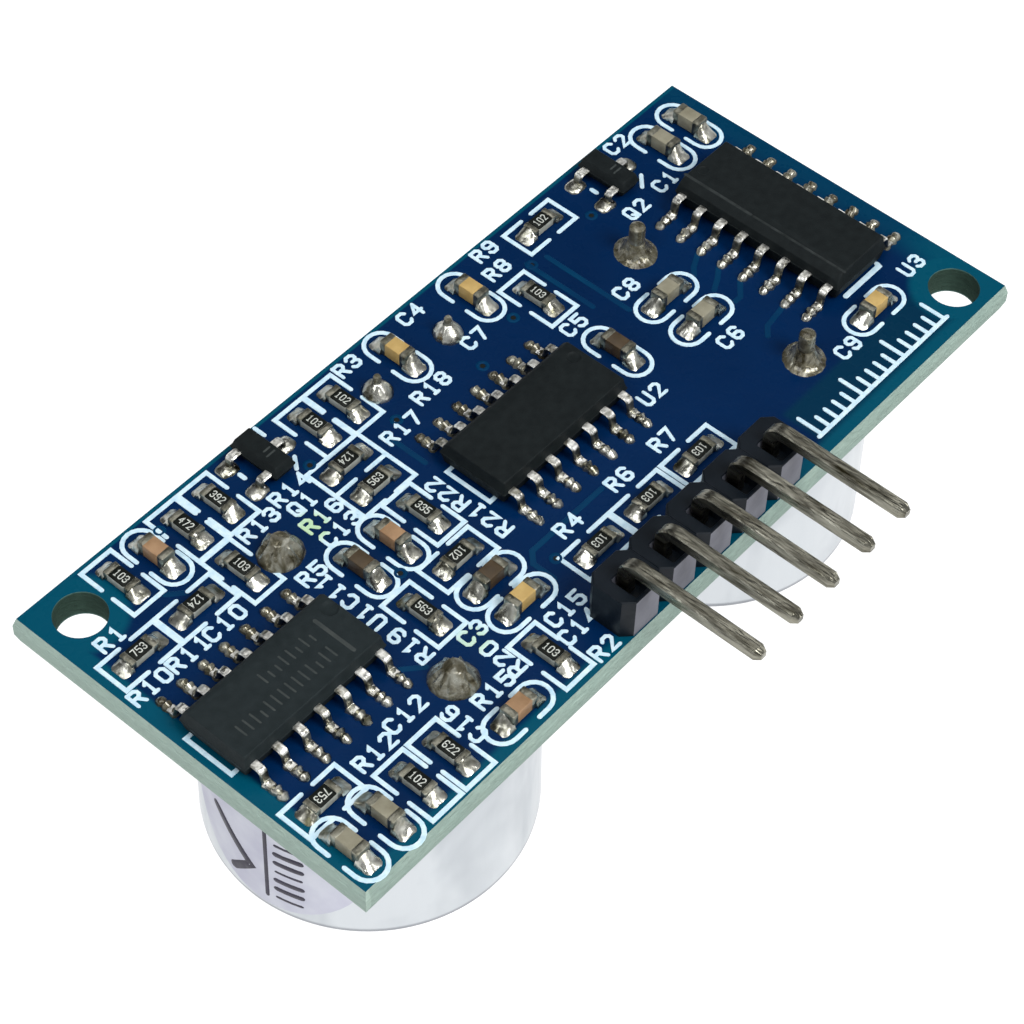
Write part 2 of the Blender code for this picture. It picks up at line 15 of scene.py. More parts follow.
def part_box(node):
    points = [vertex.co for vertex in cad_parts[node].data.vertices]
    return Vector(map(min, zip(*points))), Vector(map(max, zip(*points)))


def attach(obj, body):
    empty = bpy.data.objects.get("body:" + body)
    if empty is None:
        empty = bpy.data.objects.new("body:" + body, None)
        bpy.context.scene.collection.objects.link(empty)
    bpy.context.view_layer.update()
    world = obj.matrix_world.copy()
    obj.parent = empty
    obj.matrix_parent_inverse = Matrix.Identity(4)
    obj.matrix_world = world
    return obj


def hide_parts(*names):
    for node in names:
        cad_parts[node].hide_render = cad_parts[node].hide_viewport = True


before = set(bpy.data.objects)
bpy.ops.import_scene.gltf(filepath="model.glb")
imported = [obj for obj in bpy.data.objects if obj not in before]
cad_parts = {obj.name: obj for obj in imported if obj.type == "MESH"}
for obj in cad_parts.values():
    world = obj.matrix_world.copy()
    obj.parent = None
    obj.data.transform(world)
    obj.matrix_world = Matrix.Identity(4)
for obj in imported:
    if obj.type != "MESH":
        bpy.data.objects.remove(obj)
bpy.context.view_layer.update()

MM = 0.001
board_low, board_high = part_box("circuit_board")
BOARD = Vector(((board_low.x + board_high.x) / 2, (board_low.y + board_high.y) / 2, board_high.z))


def span(node):
    """Lowest and highest corner of a CAD node."""
    return [(corner - BOARD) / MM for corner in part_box(node)]


def middle(node):
    low, high = span(node)
    return (low + high) / 2


# Camera: the photograph's viewing direction
CAMERA_PLACE = (-66.6, -53.2, 102.1)
CAMERA_AZIMUTH = -50.73
CAMERA_ELEVATION = 51.50
CAMERA_ROLL = 2.15
CAMERA_LENS = 102.8

# Board
BOARD_BOTTOM = -1.6
CAN_FRONT = -13.6
MOUNT_HOLES = ((-20.5, 8.35), (20.75, -8.5))
BURIED = 0.01  # how far everything on the board starts below its surface
TRACE_HEIGHT = 0.014
SILK_HEIGHT = 0.032
SILK_SPREAD = 0.018
GOLDEN_RATIO = 0.618034
SILK_WIDTH = 0.235
TEXT_HEIGHT = 0.72
TEXT_WIDTH = 0.47
TEXT_ADVANCE = 0.80
TEXT_STROKE = 0.20

# Strokes of the letters: "x,y" stops on a grid 4 wide and 6 high, with a bar between strokes
GLYPHS = {
    "R": "0,0 0,6 | 0,6 3,6 4,5 4,4 3,3 0,3 | 2,3 4,0",
    "C": "4,5 3,6 1,6 0,5 0,1 1,0 3,0 4,1",
    "U": "0,6 0,1 1,0 3,0 4,1 4,6",
    "Q": "1,0 0,1 0,5 1,6 3,6 4,5 4,1 3,0 1,0 | 2,2 4,0",
    "0": "1,0 0,1 0,5 1,6 3,6 4,5 4,1 3,0 1,0",
    "1": "1,5 2,6 2,0 | 1,0 3,0",
    "2": "0,5 1,6 3,6 4,5 4,4 0,0 4,0",
    "3": "0,5 1,6 3,6 4,5 4,4 3,3 1.5,3 | 3,3 4,2 4,1 3,0 1,0 0,1",
    "4": "3,0 3,6 | 3,6 0,2 4,2",
    "5": "4,6 0,6 0,3.5 3,3.5 4,2.5 4,1 3,0 1,0 0,1",
    "6": "4,5 3,6 1,6 0,5 0,1 1,0 3,0 4,1 4,2 3,3 | 3,3 0,3",
    "7": "0,6 4,6 1.5,0",
    "8": "1,3 0,4 0,5 1,6 3,6 4,5 4,4 3,3 4,2 4,1 3,0 1,0 0,1 0,2 1,3 | 1,3 3,3",
    "9": "0,1 1,0 3,0 4,1 4,5 3,6 1,6 0,5 0,4 1,3 | 1,3 4,3",
}
GLYPH_COLUMNS = 4
GLYPH_ROWS = 6

# The small chip parts, by their number in the CAD
VALUE_CODES = ("103", "472", "392", "753", "124", "103", "753", "102", "622", "563", "102",
               "103", "103", "102", "124", "563", "335", "103", "103", "103", "103", "102")
UPRIGHT_CODES = (4, 16, 22)
CAPACITOR_LOOKS = ("tan", "pale", "pale", "tan", "brown", "tan", "brown", "yellow",
                   "yellow", "yellow", "brown", "pale", "pale", "pale", "pale", "yellow")


def chip_turn(node):
    """0 for a chip part that lies along the board, 90 for one across it."""
    low, high = span(node)
    return 0 if high.x - low.x > high.y - low.y else 90


# ---- mesh code

def polar(x, y, radius, angle):
    """The place at a distance from x and y in a direction."""
    return x + radius * cos(angle), y + radius * sin(angle)


def arc(x, y, radius, start, end, steps):
    turns = [start + (end - start) * i / steps for i in range(steps + 1)]
    return [polar(x, y, radius, radians(turn)) for turn in turns]


class Shape:
    """Closed skins that become one piece. Points are relative to the place and turn that at() sets."""

    def __init__(self):
        self.points, self.faces, self.looks = [], [], []
        self.wrap = None
        self.at()

    def at(self, x=0.0, y=0.0, z=0.0, turn=0.0):
        self.origin = Vector((x, y, z))
        self.cos = cos(radians(turn))
        self.sin = sin(radians(turn))
        return self

    def put(self, point):
        x, y, z = point
        if self.wrap:
            place = Vector(self.wrap(x, y, z))
        else:
            place = Vector((x * self.cos - y * self.sin, x * self.sin + y * self.cos, z)) + self.origin
        self.points.append(BOARD + place * MM)
        return len(self.points) - 1

    def face(self, corners, look):
        self.faces.append(corners)
        self.looks.append(look)

    def skin(self, rings, look=0, loop=False):
        """Joins rings of points, then fills both ends, or joins the last ring to the first."""
        rings = [[self.put(p) for p in ring] for ring in rings]
        for a, b in zip(rings, rings[1:] + (rings[:1] if loop else [])):
            for i in range(len(a)):
                j = (i + 1) % len(a)
                self.face((a[i], a[j], b[j], b[i]), look)
        if not loop:
            self.face(rings[0][::-1], look)
            self.face(rings[-1], look)


def add(name, data):
    obj = bpy.data.objects.new(name, data)
    bpy.context.scene.collection.objects.link(obj)
    return obj


def piece(name, shape, looks, replaces=(), sharp=35):
    """Makes an object of a Shape. Edges that turn by more than the sharp angle stay sharp."""
    mesh = bpy.data.meshes.new(name)
    mesh.from_pydata(shape.points, [], shape.faces)
    mesh.polygons.foreach_set("material_index", shape.looks)
    for look in looks:
        mesh.materials.append(LOOKS[look])
    bm = bmesh.new()
    bm.from_mesh(mesh)
    bmesh.ops.recalc_face_normals(bm, faces=bm.faces)
    bm.to_mesh(mesh)
    bm.free()
    mesh.shade_smooth()
    mesh.set_sharp_from_angle(angle=radians(sharp))
    obj = add(name, mesh)
    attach(obj, "root")
    if replaces:
        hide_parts(*replaces)


def subdivided(line, spacing):
    """A line with stops about a spacing apart, up to just before its last stop."""
    stops = []
    for (xa, ya), (xb, yb) in zip(line, line[1:]):
        count = max(1, round(hypot(xb - xa, yb - ya) / spacing))
        stops += [(xa + (xb - xa) * i / count, ya + (yb - ya) * i / count) for i in range(count)]
    return stops


def rounded_rectangle(x0, x1, y0, y1, radius, steps=3, spacing=None):
    """An outline with round corners; a spacing adds points along its straight sides."""
    outline = []
    corners = ((x1 - radius, y0 + radius, -90), (x1 - radius, y1 - radius, 0),
               (x0 + radius, y1 - radius, 90), (x0 + radius, y0 + radius, 180))
    for x, y, start in corners:
        outline += arc(x, y, radius, start, start + 90, steps)
    return subdivided(outline + outline[:1], spacing) if spacing else outline


def rounding(low, high, edge):
    """(inset, height) pairs of a body whose lower and upper edges are rounded."""
    quarter = [radians(turn) for turn in (0, 45, 90)]
    foot = [(edge * (1 - sin(a)), low + edge * (1 - cos(a))) for a in quarter]
    return foot + [(inset, low + high - z) for inset, z in reversed(foot)]


def layer(box, inset, corner, z, steps=3):
    """The outline at height z of a box, (x0, x1, y0, y1), whose sides are drawn in."""
    x0, x1, y0, y1 = box
    outline = rounded_rectangle(x0 + inset, x1 - inset, y0 + inset, y1 - inset, corner, steps)
    return [(x, y, z) for x, y in outline]


def block(shape, x0, x1, y0, y1, low, high, radius, edge, look=0):
    """A box with round corners and rounded edges."""
    levels = rounding(low, high, edge)
    shape.skin([layer((x0, x1, y0, y1), inset, radius + edge - inset, z) for inset, z in levels], look)


def circle(x, y, z, radius, count):
    return [(*polar(x, y, radius, 2 * pi * i / count), z) for i in range(count)]


def revolve(shape, x, y, profile, count, look=0, loop=False):
    """Turns (radius, height) pairs about an upright axis."""
    shape.skin([circle(x, y, z, radius, count) for radius, z in profile], look, loop)


def rounded_line(points, radius, steps):
    """A line of straight runs whose bends are arcs."""
    line = [Vector(points[0])]
    for before, corner, after in zip(points, points[1:], points[2:]):
        corner = Vector(corner)
        back = (Vector(before) - corner).normalized()
        ahead = (Vector(after) - corner).normalized()
        half = back.angle(ahead) / 2
        centre = corner + (back + ahead).normalized() * (radius / sin(half))
        start = corner + back * (radius / tan(half)) - centre
        end = corner + ahead * (radius / tan(half)) - centre
        reach = start.length
        for i in range(steps + 1):
            line.append(centre + start.slerp(end, i / steps) * reach)
    line.append(Vector(points[-1]))
    return line


def stroke(shape, line, width, low, high, look=0):
    """A raised line with mitred bends and round ends; one that returns to its start is a loop."""
    line = [Vector(p) for p in line]
    loop = (line[0] - line[-1]).length < 1e-6
    if loop:
        line.pop()
    stations = []
    for i, point in enumerate(line):
        ways = []
        if loop or i:
            ways.append((point - line[i - 1]).normalized())
        if loop or i < len(line) - 1:
            ways.append((line[(i + 1) % len(line)] - point).normalized())
        way = (ways[0] + ways[-1]).normalized()
        side = Vector((-way.y, way.x))
        mitre = max(0.6, way.dot(ways[0]))
        stations.append((point, side, width / 2 / mitre))
    if not loop:
        for end, inner in ((0, 1), (-1, -2)):
            out = (line[end] - line[inner]).normalized()
            side = stations[end][1]
            cap = []
            for turn in (30, 60, 82):
                a = radians(turn)
                cap.append((line[end] + out * (width / 2 * sin(a)), side, width / 2 * cos(a)))
            stations = cap[::-1] + stations if end == 0 else stations + cap
    rings = []
    for point, side, half in stations:
        slope = min(0.02, half * 0.3)
        rings.append([
            (*(point + side * half), low), (*(point + side * (half - slope)), high),
            (*(point - side * (half - slope)), high), (*(point - side * half), low),
        ])
    shape.skin(rings, look, loop)


def letters(text, width, height, advance):
    """The strokes of a text whose first letter starts at the origin."""
    for number, letter in enumerate(text):
        for line in GLYPHS[letter].split("|"):
            stops = [[float(part) for part in stop.split(",")] for stop in line.split()]
            yield [(number * advance + x * width / GLYPH_COLUMNS, y * height / GLYPH_ROWS)
                   for x, y in stops]


def sweep(shape, path, section, look=0, side=1):
    """Draws a section of (across, outwards) pairs along a path of (y, z, scale) stops, mirrored in Y
    where side is -1."""
    rings = []
    for i, (y, z, scale) in enumerate(path):
        ya, za, _ = path[max(0, i - 1)]
        yb, zb, _ = path[min(len(path) - 1, i + 1)]
        along = Vector((yb - ya, zb - za)).normalized()
        out = Vector((-along.y, along.x))
        rings.append([(across * scale, side * (y + out.x * up * scale), z + out.y * up * scale)
                      for across, up in section])
    shape.skin(rings, look)


def bar_section(width, thickness, edge):
    """A flat bar's section with small bevels."""
    return rounded_rectangle(-width / 2, width / 2, -thickness / 2, thickness / 2, edge, 1)


# ---- materials

class Look:
    """A Principled material with procedural nodes; the sizes of its patterns are in millimetres."""

    def __init__(self, name, colour, roughness, metallic=0.0, specular=0.5):
        self.material = bpy.data.materials.new(name)
        self.material.use_nodes = True
        self.nodes = self.material.node_tree.nodes
        self.shader = self.nodes["Principled BSDF"]
        self.fill(self.shader, {"Base Color": colour, "Roughness": roughness, "Metallic": metallic,
                                "Specular IOR Level": specular})
        self.space = self.node("TexCoord").outputs["Object"]
        self.normal = None

    def fill(self, node, inputs):
        """Sets a node's inputs to values, or links them to another node's output."""
        for name, value in inputs.items():
            socket = node.inputs[name]
            if isinstance(value, bpy.types.NodeSocket):
                self.material.node_tree.links.new(value, socket)
            else:
                socket.default_value = (*value, 1.0) if socket.type == "RGBA" else value

    def node(self, kind, inputs=None, **settings):
        made = self.nodes.new("ShaderNode" + kind)
        for key, value in settings.items():
            setattr(made, key, value)
        self.fill(made, inputs or {})
        return made

    def noise(self, size, detail=3.0, roughness=0.5, distortion=0.0, stretch=(1.0, 1.0, 1.0)):
        """A cloud pattern with features of about this size, stretched by the given factors."""
        scale = [1 / (factor * size * MM) for factor in stretch]
        place = self.node("Mapping", {"Vector": self.space, "Scale": scale}).outputs["Vector"]
        inputs = {"Vector": place, "Scale": 1.0, "Detail": detail, "Roughness": roughness,
                  "Distortion": distortion}
        return self.node("TexNoise", inputs).outputs["Fac"]

    def ramp(self, value, *stops):
        """A colour or a grey for each value between the stops."""
        made = self.node("ValToRGB", {"Fac": value})
        elements = made.color_ramp.elements
        while len(elements) < len(stops):
            elements.new(0.5)
        for element, (place, colour) in zip(elements, stops):
            element.position = place
            element.color = (*(colour if isinstance(colour, tuple) else [colour] * 3), 1.0)
        return made.outputs["Color"]

    def vary(self, low, high, *pattern):
        """A cloud pattern between two colours or two greys."""
        return self.ramp(self.noise(*pattern), (0.3, low), (0.7, high))

    def mix(self, share, a, b):
        return self.node("Mix", {"Factor": share, 6: a, 7: b}, data_type="RGBA").outputs[2]

    def math(self, operation, a, b=0.0):
        return self.node("Math", {0: a, 1: b}, operation=operation).outputs[0]

    def step(self, value, low, high):
        """Rises smoothly from 0 at low to 1 at high."""
        return self.node("MapRange", {"Value": value, "From Min": low, "From Max": high},
                         interpolation_type="SMOOTHSTEP").outputs["Result"]

    def split(self, vector):
        return self.node("SeparateXYZ", {0: vector}).outputs

    def board_place(self):
        """x, y and z in millimetres from the middle of the component side."""
        moved = self.node("VectorMath", {0: self.space, 1: BOARD}, operation="SUBTRACT").outputs[0]
        scaled = self.node("VectorMath", {0: moved, "Scale": 1 / MM}, operation="SCALE").outputs[0]
        return self.split(scaled)

    def near(self, x, y, spot, inner, outer):
        """1 within a radius of a spot on the board, 0 beyond an outer radius."""
        dx = self.math("SUBTRACT", x, spot[0])
        dy = self.math("SUBTRACT", y, spot[1])
        square = self.math("ADD", self.math("MULTIPLY", dx, dx), self.math("MULTIPLY", dy, dy))
        return self.step(square, outer * outer, inner * inner)

    def facing(self, axis, low=0.4, high=0.6):
        """1 on faces that look along the axis, either way, and 0 on those across it."""
        normal = self.split(self.node("NewGeometry").outputs["Normal"])
        return self.step(self.math("ABSOLUTE", normal[axis]), low, high)

    def colour(self, value):
        self.fill(self.shader, {"Base Color": value})

    def rough(self, value):
        self.fill(self.shader, {"Roughness": value})

    def bump(self, value, depth):
        """Adds a relief of the given depth to those before it."""
        made = self.node("Bump", {"Height": value, "Distance": depth * MM})
        if self.normal:
            self.fill(made, {"Normal": self.normal})
        self.normal = made.outputs["Normal"]
        self.fill(self.shader, {"Normal": self.normal})


def shades(colour, dark, light):
    """A darker and a lighter shade of a colour."""
    return [tuple(channel * factor for channel in colour) for factor in (dark, light)]


MASK_DEEP = (0.0002, 0.0130, 0.0550)
MASK_MIDDLE = (0.0002, 0.0210, 0.0500)
MASK_TEAL = (0.0002, 0.0560, 0.0960)
LAMINATE = (0.275, 0.35, 0.305)
# Painted shade: the colour of the mounting holes' walls, far darker than the laminate edge.
SHADED_HOLE_WALL = (0.030, 0.055, 0.042)


def mask_colour(look):
    """Blue where copper lies under the mask and teal where it doesn't."""
    x, y, _ = look.board_place()
    bare = look.step(x, -21.45, -21.75)  # the -X end
    corner = look.math("ADD", 0.4, look.math("MULTIPLY", look.step(y, -3.5, -7.0), 0.5))
    parts = [
        look.math("MULTIPLY", look.step(x, 20.3, 22.0), corner),  # the +X end
        *[look.near(x, y, hole, 1.9, 2.4) for hole in MOUNT_HOLES],
        look.step(y, -9.40, -9.85),  # the -Y edge
        look.step(y, 10.0, 10.1),  # the +Y edge
    ]
    for part in parts:
        bare = look.math("MAXIMUM", bare, part)
    cloud = look.noise(6.0, 2.0)
    deep = look.mix(cloud, *shades(MASK_DEEP, 0.75, 1.3))
    strip = look.math("MULTIPLY", look.step(x, 8.7, 9.1), look.step(y, -7.1, -7.5))
    deep = look.mix(strip, deep, MASK_MIDDLE)
    return look.mix(bare, deep, MASK_TEAL)


def board_look():
    look = Look("board", MASK_DEEP, 0.3, specular=0.05)
    x, y, z = look.board_place()
    face = look.facing("Z")
    fibres = look.noise(0.16, 4.0, 0.6, 0.4, (3.0, 3.0, 0.7))
    patches = look.noise(1.4, 3.0)
    laminate = look.mix(fibres, *shades(LAMINATE, 0.6, 1.35))
    laminate = look.mix(look.math("MULTIPLY", patches, 0.35), laminate, (0.17, 0.27, 0.24))
    hole = look.math("MAXIMUM", *[look.near(x, y, spot, 1.5, 1.6) for spot in MOUNT_HOLES])
    # Painted shade inside the mounting holes: the wall is darkened, a little less towards both lips.
    wall = look.mix(fibres, *shades(SHADED_HOLE_WALL, 0.6, 1.6))
    lip = look.step(look.math("ABSOLUTE", look.math("ADD", z, 0.8)), 0.68, 0.78)
    wall = look.mix(lip, wall, (0.08, 0.16, 0.14))
    # Painted light: the -X end face of the laminate is lightened.
    lit_left_end = look.math("MULTIPLY", look.step(x, -22.3, -22.4), 0.3)
    laminate = look.mix(lit_left_end, laminate, (0.46, 0.57, 0.50))
    side = look.mix(hole, laminate, wall)
    look.colour(look.mix(face, side, mask_colour(look)))
    orange_peel = look.noise(0.7, 2.0)
    look.rough(look.mix(face, (0.85, 0.85, 0.85), look.ramp(orange_peel, (0.3, 0.22), (0.7, 0.36))))
    look.bump(orange_peel, 0.012)
    look.bump(look.math("MULTIPLY", fibres, look.math("SUBTRACT", 1.0, face)), 0.12)
    return look.material


def trace_look():
    look = Look("masked_copper", MASK_DEEP, 0.28, specular=0.06)
    look.colour(look.vary((0.0003, 0.022, 0.068), (0.0003, 0.032, 0.082), 2.0))
    look.bump(look.noise(0.5, 2.0), 0.008)
    return look.material


def silk_look():
    look = Look("silkscreen", (0.6, 0.75, 0.86), 0.55, specular=0.3)
    x, y, _ = look.board_place()
    ink = look.ramp(look.noise(0.35, 3.0), (0.25, (0.40, 0.58, 0.69)), (0.65, (0.58, 0.72, 0.79)))
    spots = (((-10.3, 4.2), 0.3, 1.1, 0.6), ((-10.2, -5.2), 0.2, 1.0, 0.4))
    flux = [look.math("MULTIPLY", look.near(x, y, *spot), share) for *spot, share in spots]
    look.colour(look.mix(look.math("MAXIMUM", *flux), ink, (0.36, 0.55, 0.12)))
    look.bump(look.noise(0.12, 2.0), 0.01)
    return look.material


def metal_look(name, dark, light, roughness, grain, depth, stretch=(1.0, 1.0, 1.0)):
    """A bare metal with a stain and a grain; roughness is (smooth, rough)."""
    look = Look(name, light, roughness[0], metallic=1.0)
    stain = look.noise(grain * 3, 4.0, 0.6, 0.3, stretch)
    look.colour(look.ramp(stain, (0.3, dark), (0.62, light)))
    look.rough(look.vary(*roughness, grain * 2, 3.0, 0.5, 0.0, stretch))
    look.bump(look.noise(grain, 1.5, 0.5, 0.2, stretch), depth)
    return look.material


def dull_look(name, dark, light, roughness, grain, depth, specular=0.4):
    """A non-metal with a fine grain and a slight variation of its colour."""
    look = Look(name, light, roughness, specular=specular)
    look.colour(look.vary(dark, light, grain * 4, 4.0, 0.6))
    look.rough(look.vary(roughness - 0.06, roughness + 0.08, grain * 2))
    look.bump(look.noise(grain, 2.0), depth)
    return look.material


def fluxed_solder_look():
    """Hand-made solder under a skin of brown flux."""
    look = Look("fluxed_solder", (0.16, 0.135, 0.095), 0.3, metallic=0.6)
    stain = look.noise(0.9, 3.0, 0.6, 1.2)
    brown, olive, grey = (0.048, 0.040, 0.020), (0.140, 0.128, 0.085), (0.32, 0.315, 0.26)
    look.colour(look.ramp(stain, (0.35, brown), (0.5, olive), (0.66, grey)))
    look.rough(look.vary(0.16, 0.42, 0.5))
    look.bump(look.noise(0.5, 2.0, 0.5, 0.8), 0.06)
    look.fill(look.shader, {"Coat Weight": 0.7, "Coat Roughness": 0.07})
    return look.material


def lead_look():
    """Tin whose upright faces are painted darker than its flat ones: painted shade."""
    look = Look("tinned_lead", (0.5, 0.5, 0.45), 0.35, metallic=1.0)
    stain = look.noise(0.55, 3.0, 0.6, 0.3)
    flat = look.ramp(stain, (0.35, (0.28, 0.27, 0.22)), (0.55, (0.90, 0.89, 0.83)))
    upright = look.ramp(stain, (0.35, (0.09, 0.085, 0.06)), (0.65, (0.36, 0.35, 0.29)))
    # Painted shade: upright faces take the darker ramp, flat faces the lighter one.
    look.colour(look.mix(look.facing("Z"), upright, flat))
    look.rough(look.vary(0.24, 0.42, 0.4))
    look.bump(look.noise(0.3, 2.0), 0.03)
    return look.material


def header_look():
    """Black moulding whose long sides are painted a lighter grey than its top: painted light on the sides.
    """
    look = Look("header_plastic", (0.005, 0.007, 0.012), 0.35, specular=0.12)
    cloud = look.noise(2.0, 4.0)
    side = look.ramp(cloud, (0.3, (0.075, 0.077, 0.097)), (0.7, (0.115, 0.118, 0.142)))
    top = look.ramp(cloud, (0.3, (0.0025, 0.0045, 0.0070)), (0.7, (0.0060, 0.0090, 0.0130)))
    # Painted light: faces along Y take the lighter ramp, the top the near-black one.
    look.colour(look.mix(look.facing("Y", 0.85, 0.95), top, side))
    look.rough(look.vary(0.34, 0.46, 0.9))
    look.bump(look.noise(0.45, 3.0), 0.015)
    return look.material


def can_look():
    """Drawn aluminium with cloudy patches, and a dark line just above the front edge: a painted shadow where
    the lip meets the floor.
    """
    look = Look("can", (0.55, 0.58, 0.60), 0.35, metallic=1.0)
    patches = look.noise(4.0, 3.0, 0.55, 0.5, (1.0, 1.0, 2.0))
    cloud = look.ramp(patches, (0.3, (0.48, 0.51, 0.54)), (0.6, (0.62, 0.65, 0.675)))
    _, _, z = look.board_place()
    # Painted shadow: a dark band along the front lip, where the can stands on the floor.
    lip_shadow = look.math("MULTIPLY", look.step(z, CAN_FRONT + 0.74, CAN_FRONT + 0.50),
                     look.step(z, CAN_FRONT + 0.04, CAN_FRONT + 0.16))
    look.colour(look.mix(look.math("MULTIPLY", lip_shadow, 0.75), cloud, (0.16, 0.17, 0.20)))
    look.rough(look.vary(0.28, 0.42, 1.0, 3.0, 0.5, 0.0, (1.0, 1.0, 5.0)))
    look.bump(look.noise(0.5, 3.0, 0.5, 0.0, (1.0, 1.0, 6.0)), 0.004)
    return look.material


def label_look():
    look = Look("label", (0.52, 0.53, 0.60), 0.5, specular=0.3)
    look.colour(look.vary((0.45, 0.45, 0.54), (0.56, 0.57, 0.63), 1.8))
    look.bump(look.noise(0.15), 0.004)
    return look.material


# Each metal's dark and light colour, (smooth, rough), grain, its depth, and its stretch along X, Y and Z
METALS = {
    "solder": ((0.11, 0.105, 0.065), (0.64, 0.63, 0.56), (0.2, 0.4), 0.32, 0.045),
    "chip_end": ((0.12, 0.115, 0.08), (0.36, 0.35, 0.285), (0.26, 0.46), 0.2, 0.025),
    "pin": ((0.03, 0.026, 0.013), (0.31, 0.3, 0.245), (0.22, 0.4), 0.26, 0.04, (0.6, 3.0, 0.6)),
    "grille_wire": ((0.22, 0.22, 0.22), (0.42, 0.42, 0.43), (0.3, 0.5), 0.15, 0.01),
    "cone": ((0.6, 0.6, 0.62), (0.8, 0.8, 0.82), (0.25, 0.4), 0.5, 0.01, (3.0, 3.0, 0.3)),
    "crystal_case": ((0.58, 0.58, 0.58), (0.75, 0.75, 0.76), (0.2, 0.36), 0.5, 0.006, (4.0, 1.0, 1.0)),
}
# Each dull material's dark and light colour, roughness, grain, its depth, and the specular level
DULLS = {
    "epoxy": ((0.004, 0.006, 0.0065), (0.008, 0.011, 0.0115), 0.62, 0.1, 0.012, 0.12),
    "epoxy_grey": ((0.0095, 0.014, 0.015), (0.0145, 0.02, 0.0215), 0.7, 0.1, 0.012, 0.12),
    "package_mark": ((0.03, 0.036, 0.036), (0.044, 0.05, 0.048), 0.7, 0.12, 0.004, 0.12),
    # Painted highlight: the lighter grey of the lines along the driver's chamfer edge.
    "highlight_epoxy": ((0.01, 0.013, 0.013), (0.03, 0.035, 0.035), 0.55, 0.12, 0.004, 0.12),
    "alumina": ((0.2, 0.21, 0.18), (0.36, 0.37, 0.33), 0.5, 0.12, 0.01),
    "glaze": ((0.0025, 0.0035, 0.0025), (0.006, 0.0075, 0.0055), 0.35, 0.2, 0.004, 0.2),
    "value_digit": ((0.42, 0.44, 0.4), (0.58, 0.6, 0.55), 0.5, 0.12, 0.002),
    "phenolic": ((0.012, 0.012, 0.011), (0.03, 0.028, 0.026), 0.6, 0.25, 0.02),
    "label_ink": ((0.01, 0.008, 0.02), (0.025, 0.02, 0.045), 0.5, 0.2, 0.002),
    "ceramic_tan": ((0.21, 0.12, 0.058), (0.32, 0.195, 0.105), 0.42, 0.25, 0.008),
    "ceramic_yellow": ((0.36, 0.235, 0.075), (0.48, 0.33, 0.12), 0.42, 0.25, 0.008),
    "ceramic_brown": ((0.038, 0.025, 0.012), (0.072, 0.047, 0.023), 0.42, 0.25, 0.008),
    "ceramic_pale": ((0.17, 0.155, 0.105), (0.26, 0.245, 0.18), 0.42, 0.25, 0.008),
}
LOOKS = {
    "board": board_look(), "masked_copper": trace_look(), "silkscreen": silk_look(),
    "fluxed_solder": fluxed_solder_look(), "tinned_lead": lead_look(), "header_plastic": header_look(),
    "can": can_look(), "label": label_look(),
}
LOOKS |= {name: metal_look(name, *values) for name, values in METALS.items()}
LOOKS |= {name: dull_look(name, *values) for name, values in DULLS.items()}


# ---- board surface

def dress_cad_nodes():
    """The board and the sounders stay as the CAD has them, with procedural materials."""
    dress = {"circuit_board": "board", "receiver_sounder": "cone", "transmitter_sounder": "cone"}
    for node, look in dress.items():
        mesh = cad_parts[node].data
        mesh.materials.clear()
        mesh.materials.append(LOOKS[look])


def make_traces():
    """Copper lines under the mask, and the vias with their rings."""
    shape = Shape()
    lines = (
        [(0.0, -3.9), (-4.8, -3.9), (-5.3, -4.4), (-5.3, -5.6)],
        [(-4.2, 5.3), (-4.2, 3.0)], [(8.2, 7.6), (8.2, 3.5)], [(9.2, 7.2), (9.2, 2.1)],
        [(14.2, 1.95), (13.4, 1.55), (13.0, 1.2)], [(14.2, 0.65), (13.6, 0.25), (12.9, -0.1)],
        [(14.2, -0.65), (13.4, -1.3), (13.0, -1.3)], [(14.2, -3.2), (12.8, -3.4), (12.3, -3.8)],
        [(-9.9, 0.3), (-9.2, -0.4)], [(-17.3, 6.4), (-16.6, 5.8)], [(-13.4, -3.9), (-12.6, -4.6)],
    )
    for number, line in enumerate(lines):
        stroke(shape, line, 0.3, -BURIED, TRACE_HEIGHT * (1 - 0.02 * number))
    vias = ((-7.8, 6.75), (-3.2, 5.65), (-9.6, -0.4), (-15.0, 9.1), (5.14, 5.82), (-4.4, -4.95),
            (12.75, 7.4), (8.3, 7.4), (1.9, 4.9))
    for x, y in vias:
        ring = [(0.14, -BURIED), (0.14, 0.012), (0.17, 0.03), (0.25, 0.03), (0.32, 0.01), (0.33, -BURIED)]
        revolve(shape, x, y, ring, 20, 0, True)
        # Painted shade: a near-black disc stands in each via's hole.
        revolve(shape, x, y, [(0.13, -BURIED), (0.13, 0.002)], 16, 1)
    piece("board_traces", shape, ["masked_copper", "glaze"])


class Ink:
    """Silkscreen strokes of slightly different heights, so that crossings don't share a face."""

    def __init__(self, shape, side=1):
        self.shape = shape
        self.side = side
        self.count = 0

    def line(self, line, width=SILK_WIDTH):
        self.count += 1
        top = SILK_HEIGHT - SILK_SPREAD * (self.count * GOLDEN_RATIO % 1)
        stroke(self.shape, line, width, -BURIED * self.side, top * self.side)

    def text(self, text, x, y, turn):
        self.shape.at(x, y, 0, turn)
        inset = TEXT_STROKE / 2
        for line in letters(text, TEXT_WIDTH, TEXT_HEIGHT, TEXT_ADVANCE):
            self.line([(a + inset, b + inset) for a, b in line], TEXT_STROKE)
        self.shape.at()

    def bracket(self, node, half):
        """The two halves of a bracket round a chip part."""
        spot = middle(node)
        self.shape.at(spot.x, spot.y, 0, chip_turn(node))
        for side in (-1, 1):
            self.line([(side * x, y) for x, y in half])
        self.shape.at()


# The right half of the bracket round a chip part whose long side is the local X
RESISTOR_BRACKET = [(0.36, -0.90), (1.66, -0.90), (1.66, 0.90), (0.36, 0.90)]
CAPACITOR_BRACKET = [(0.45, -0.81)] + arc(1.86 - 0.81, 0.0, 0.81, -90, 90, 10) + [(0.45, 0.81)]

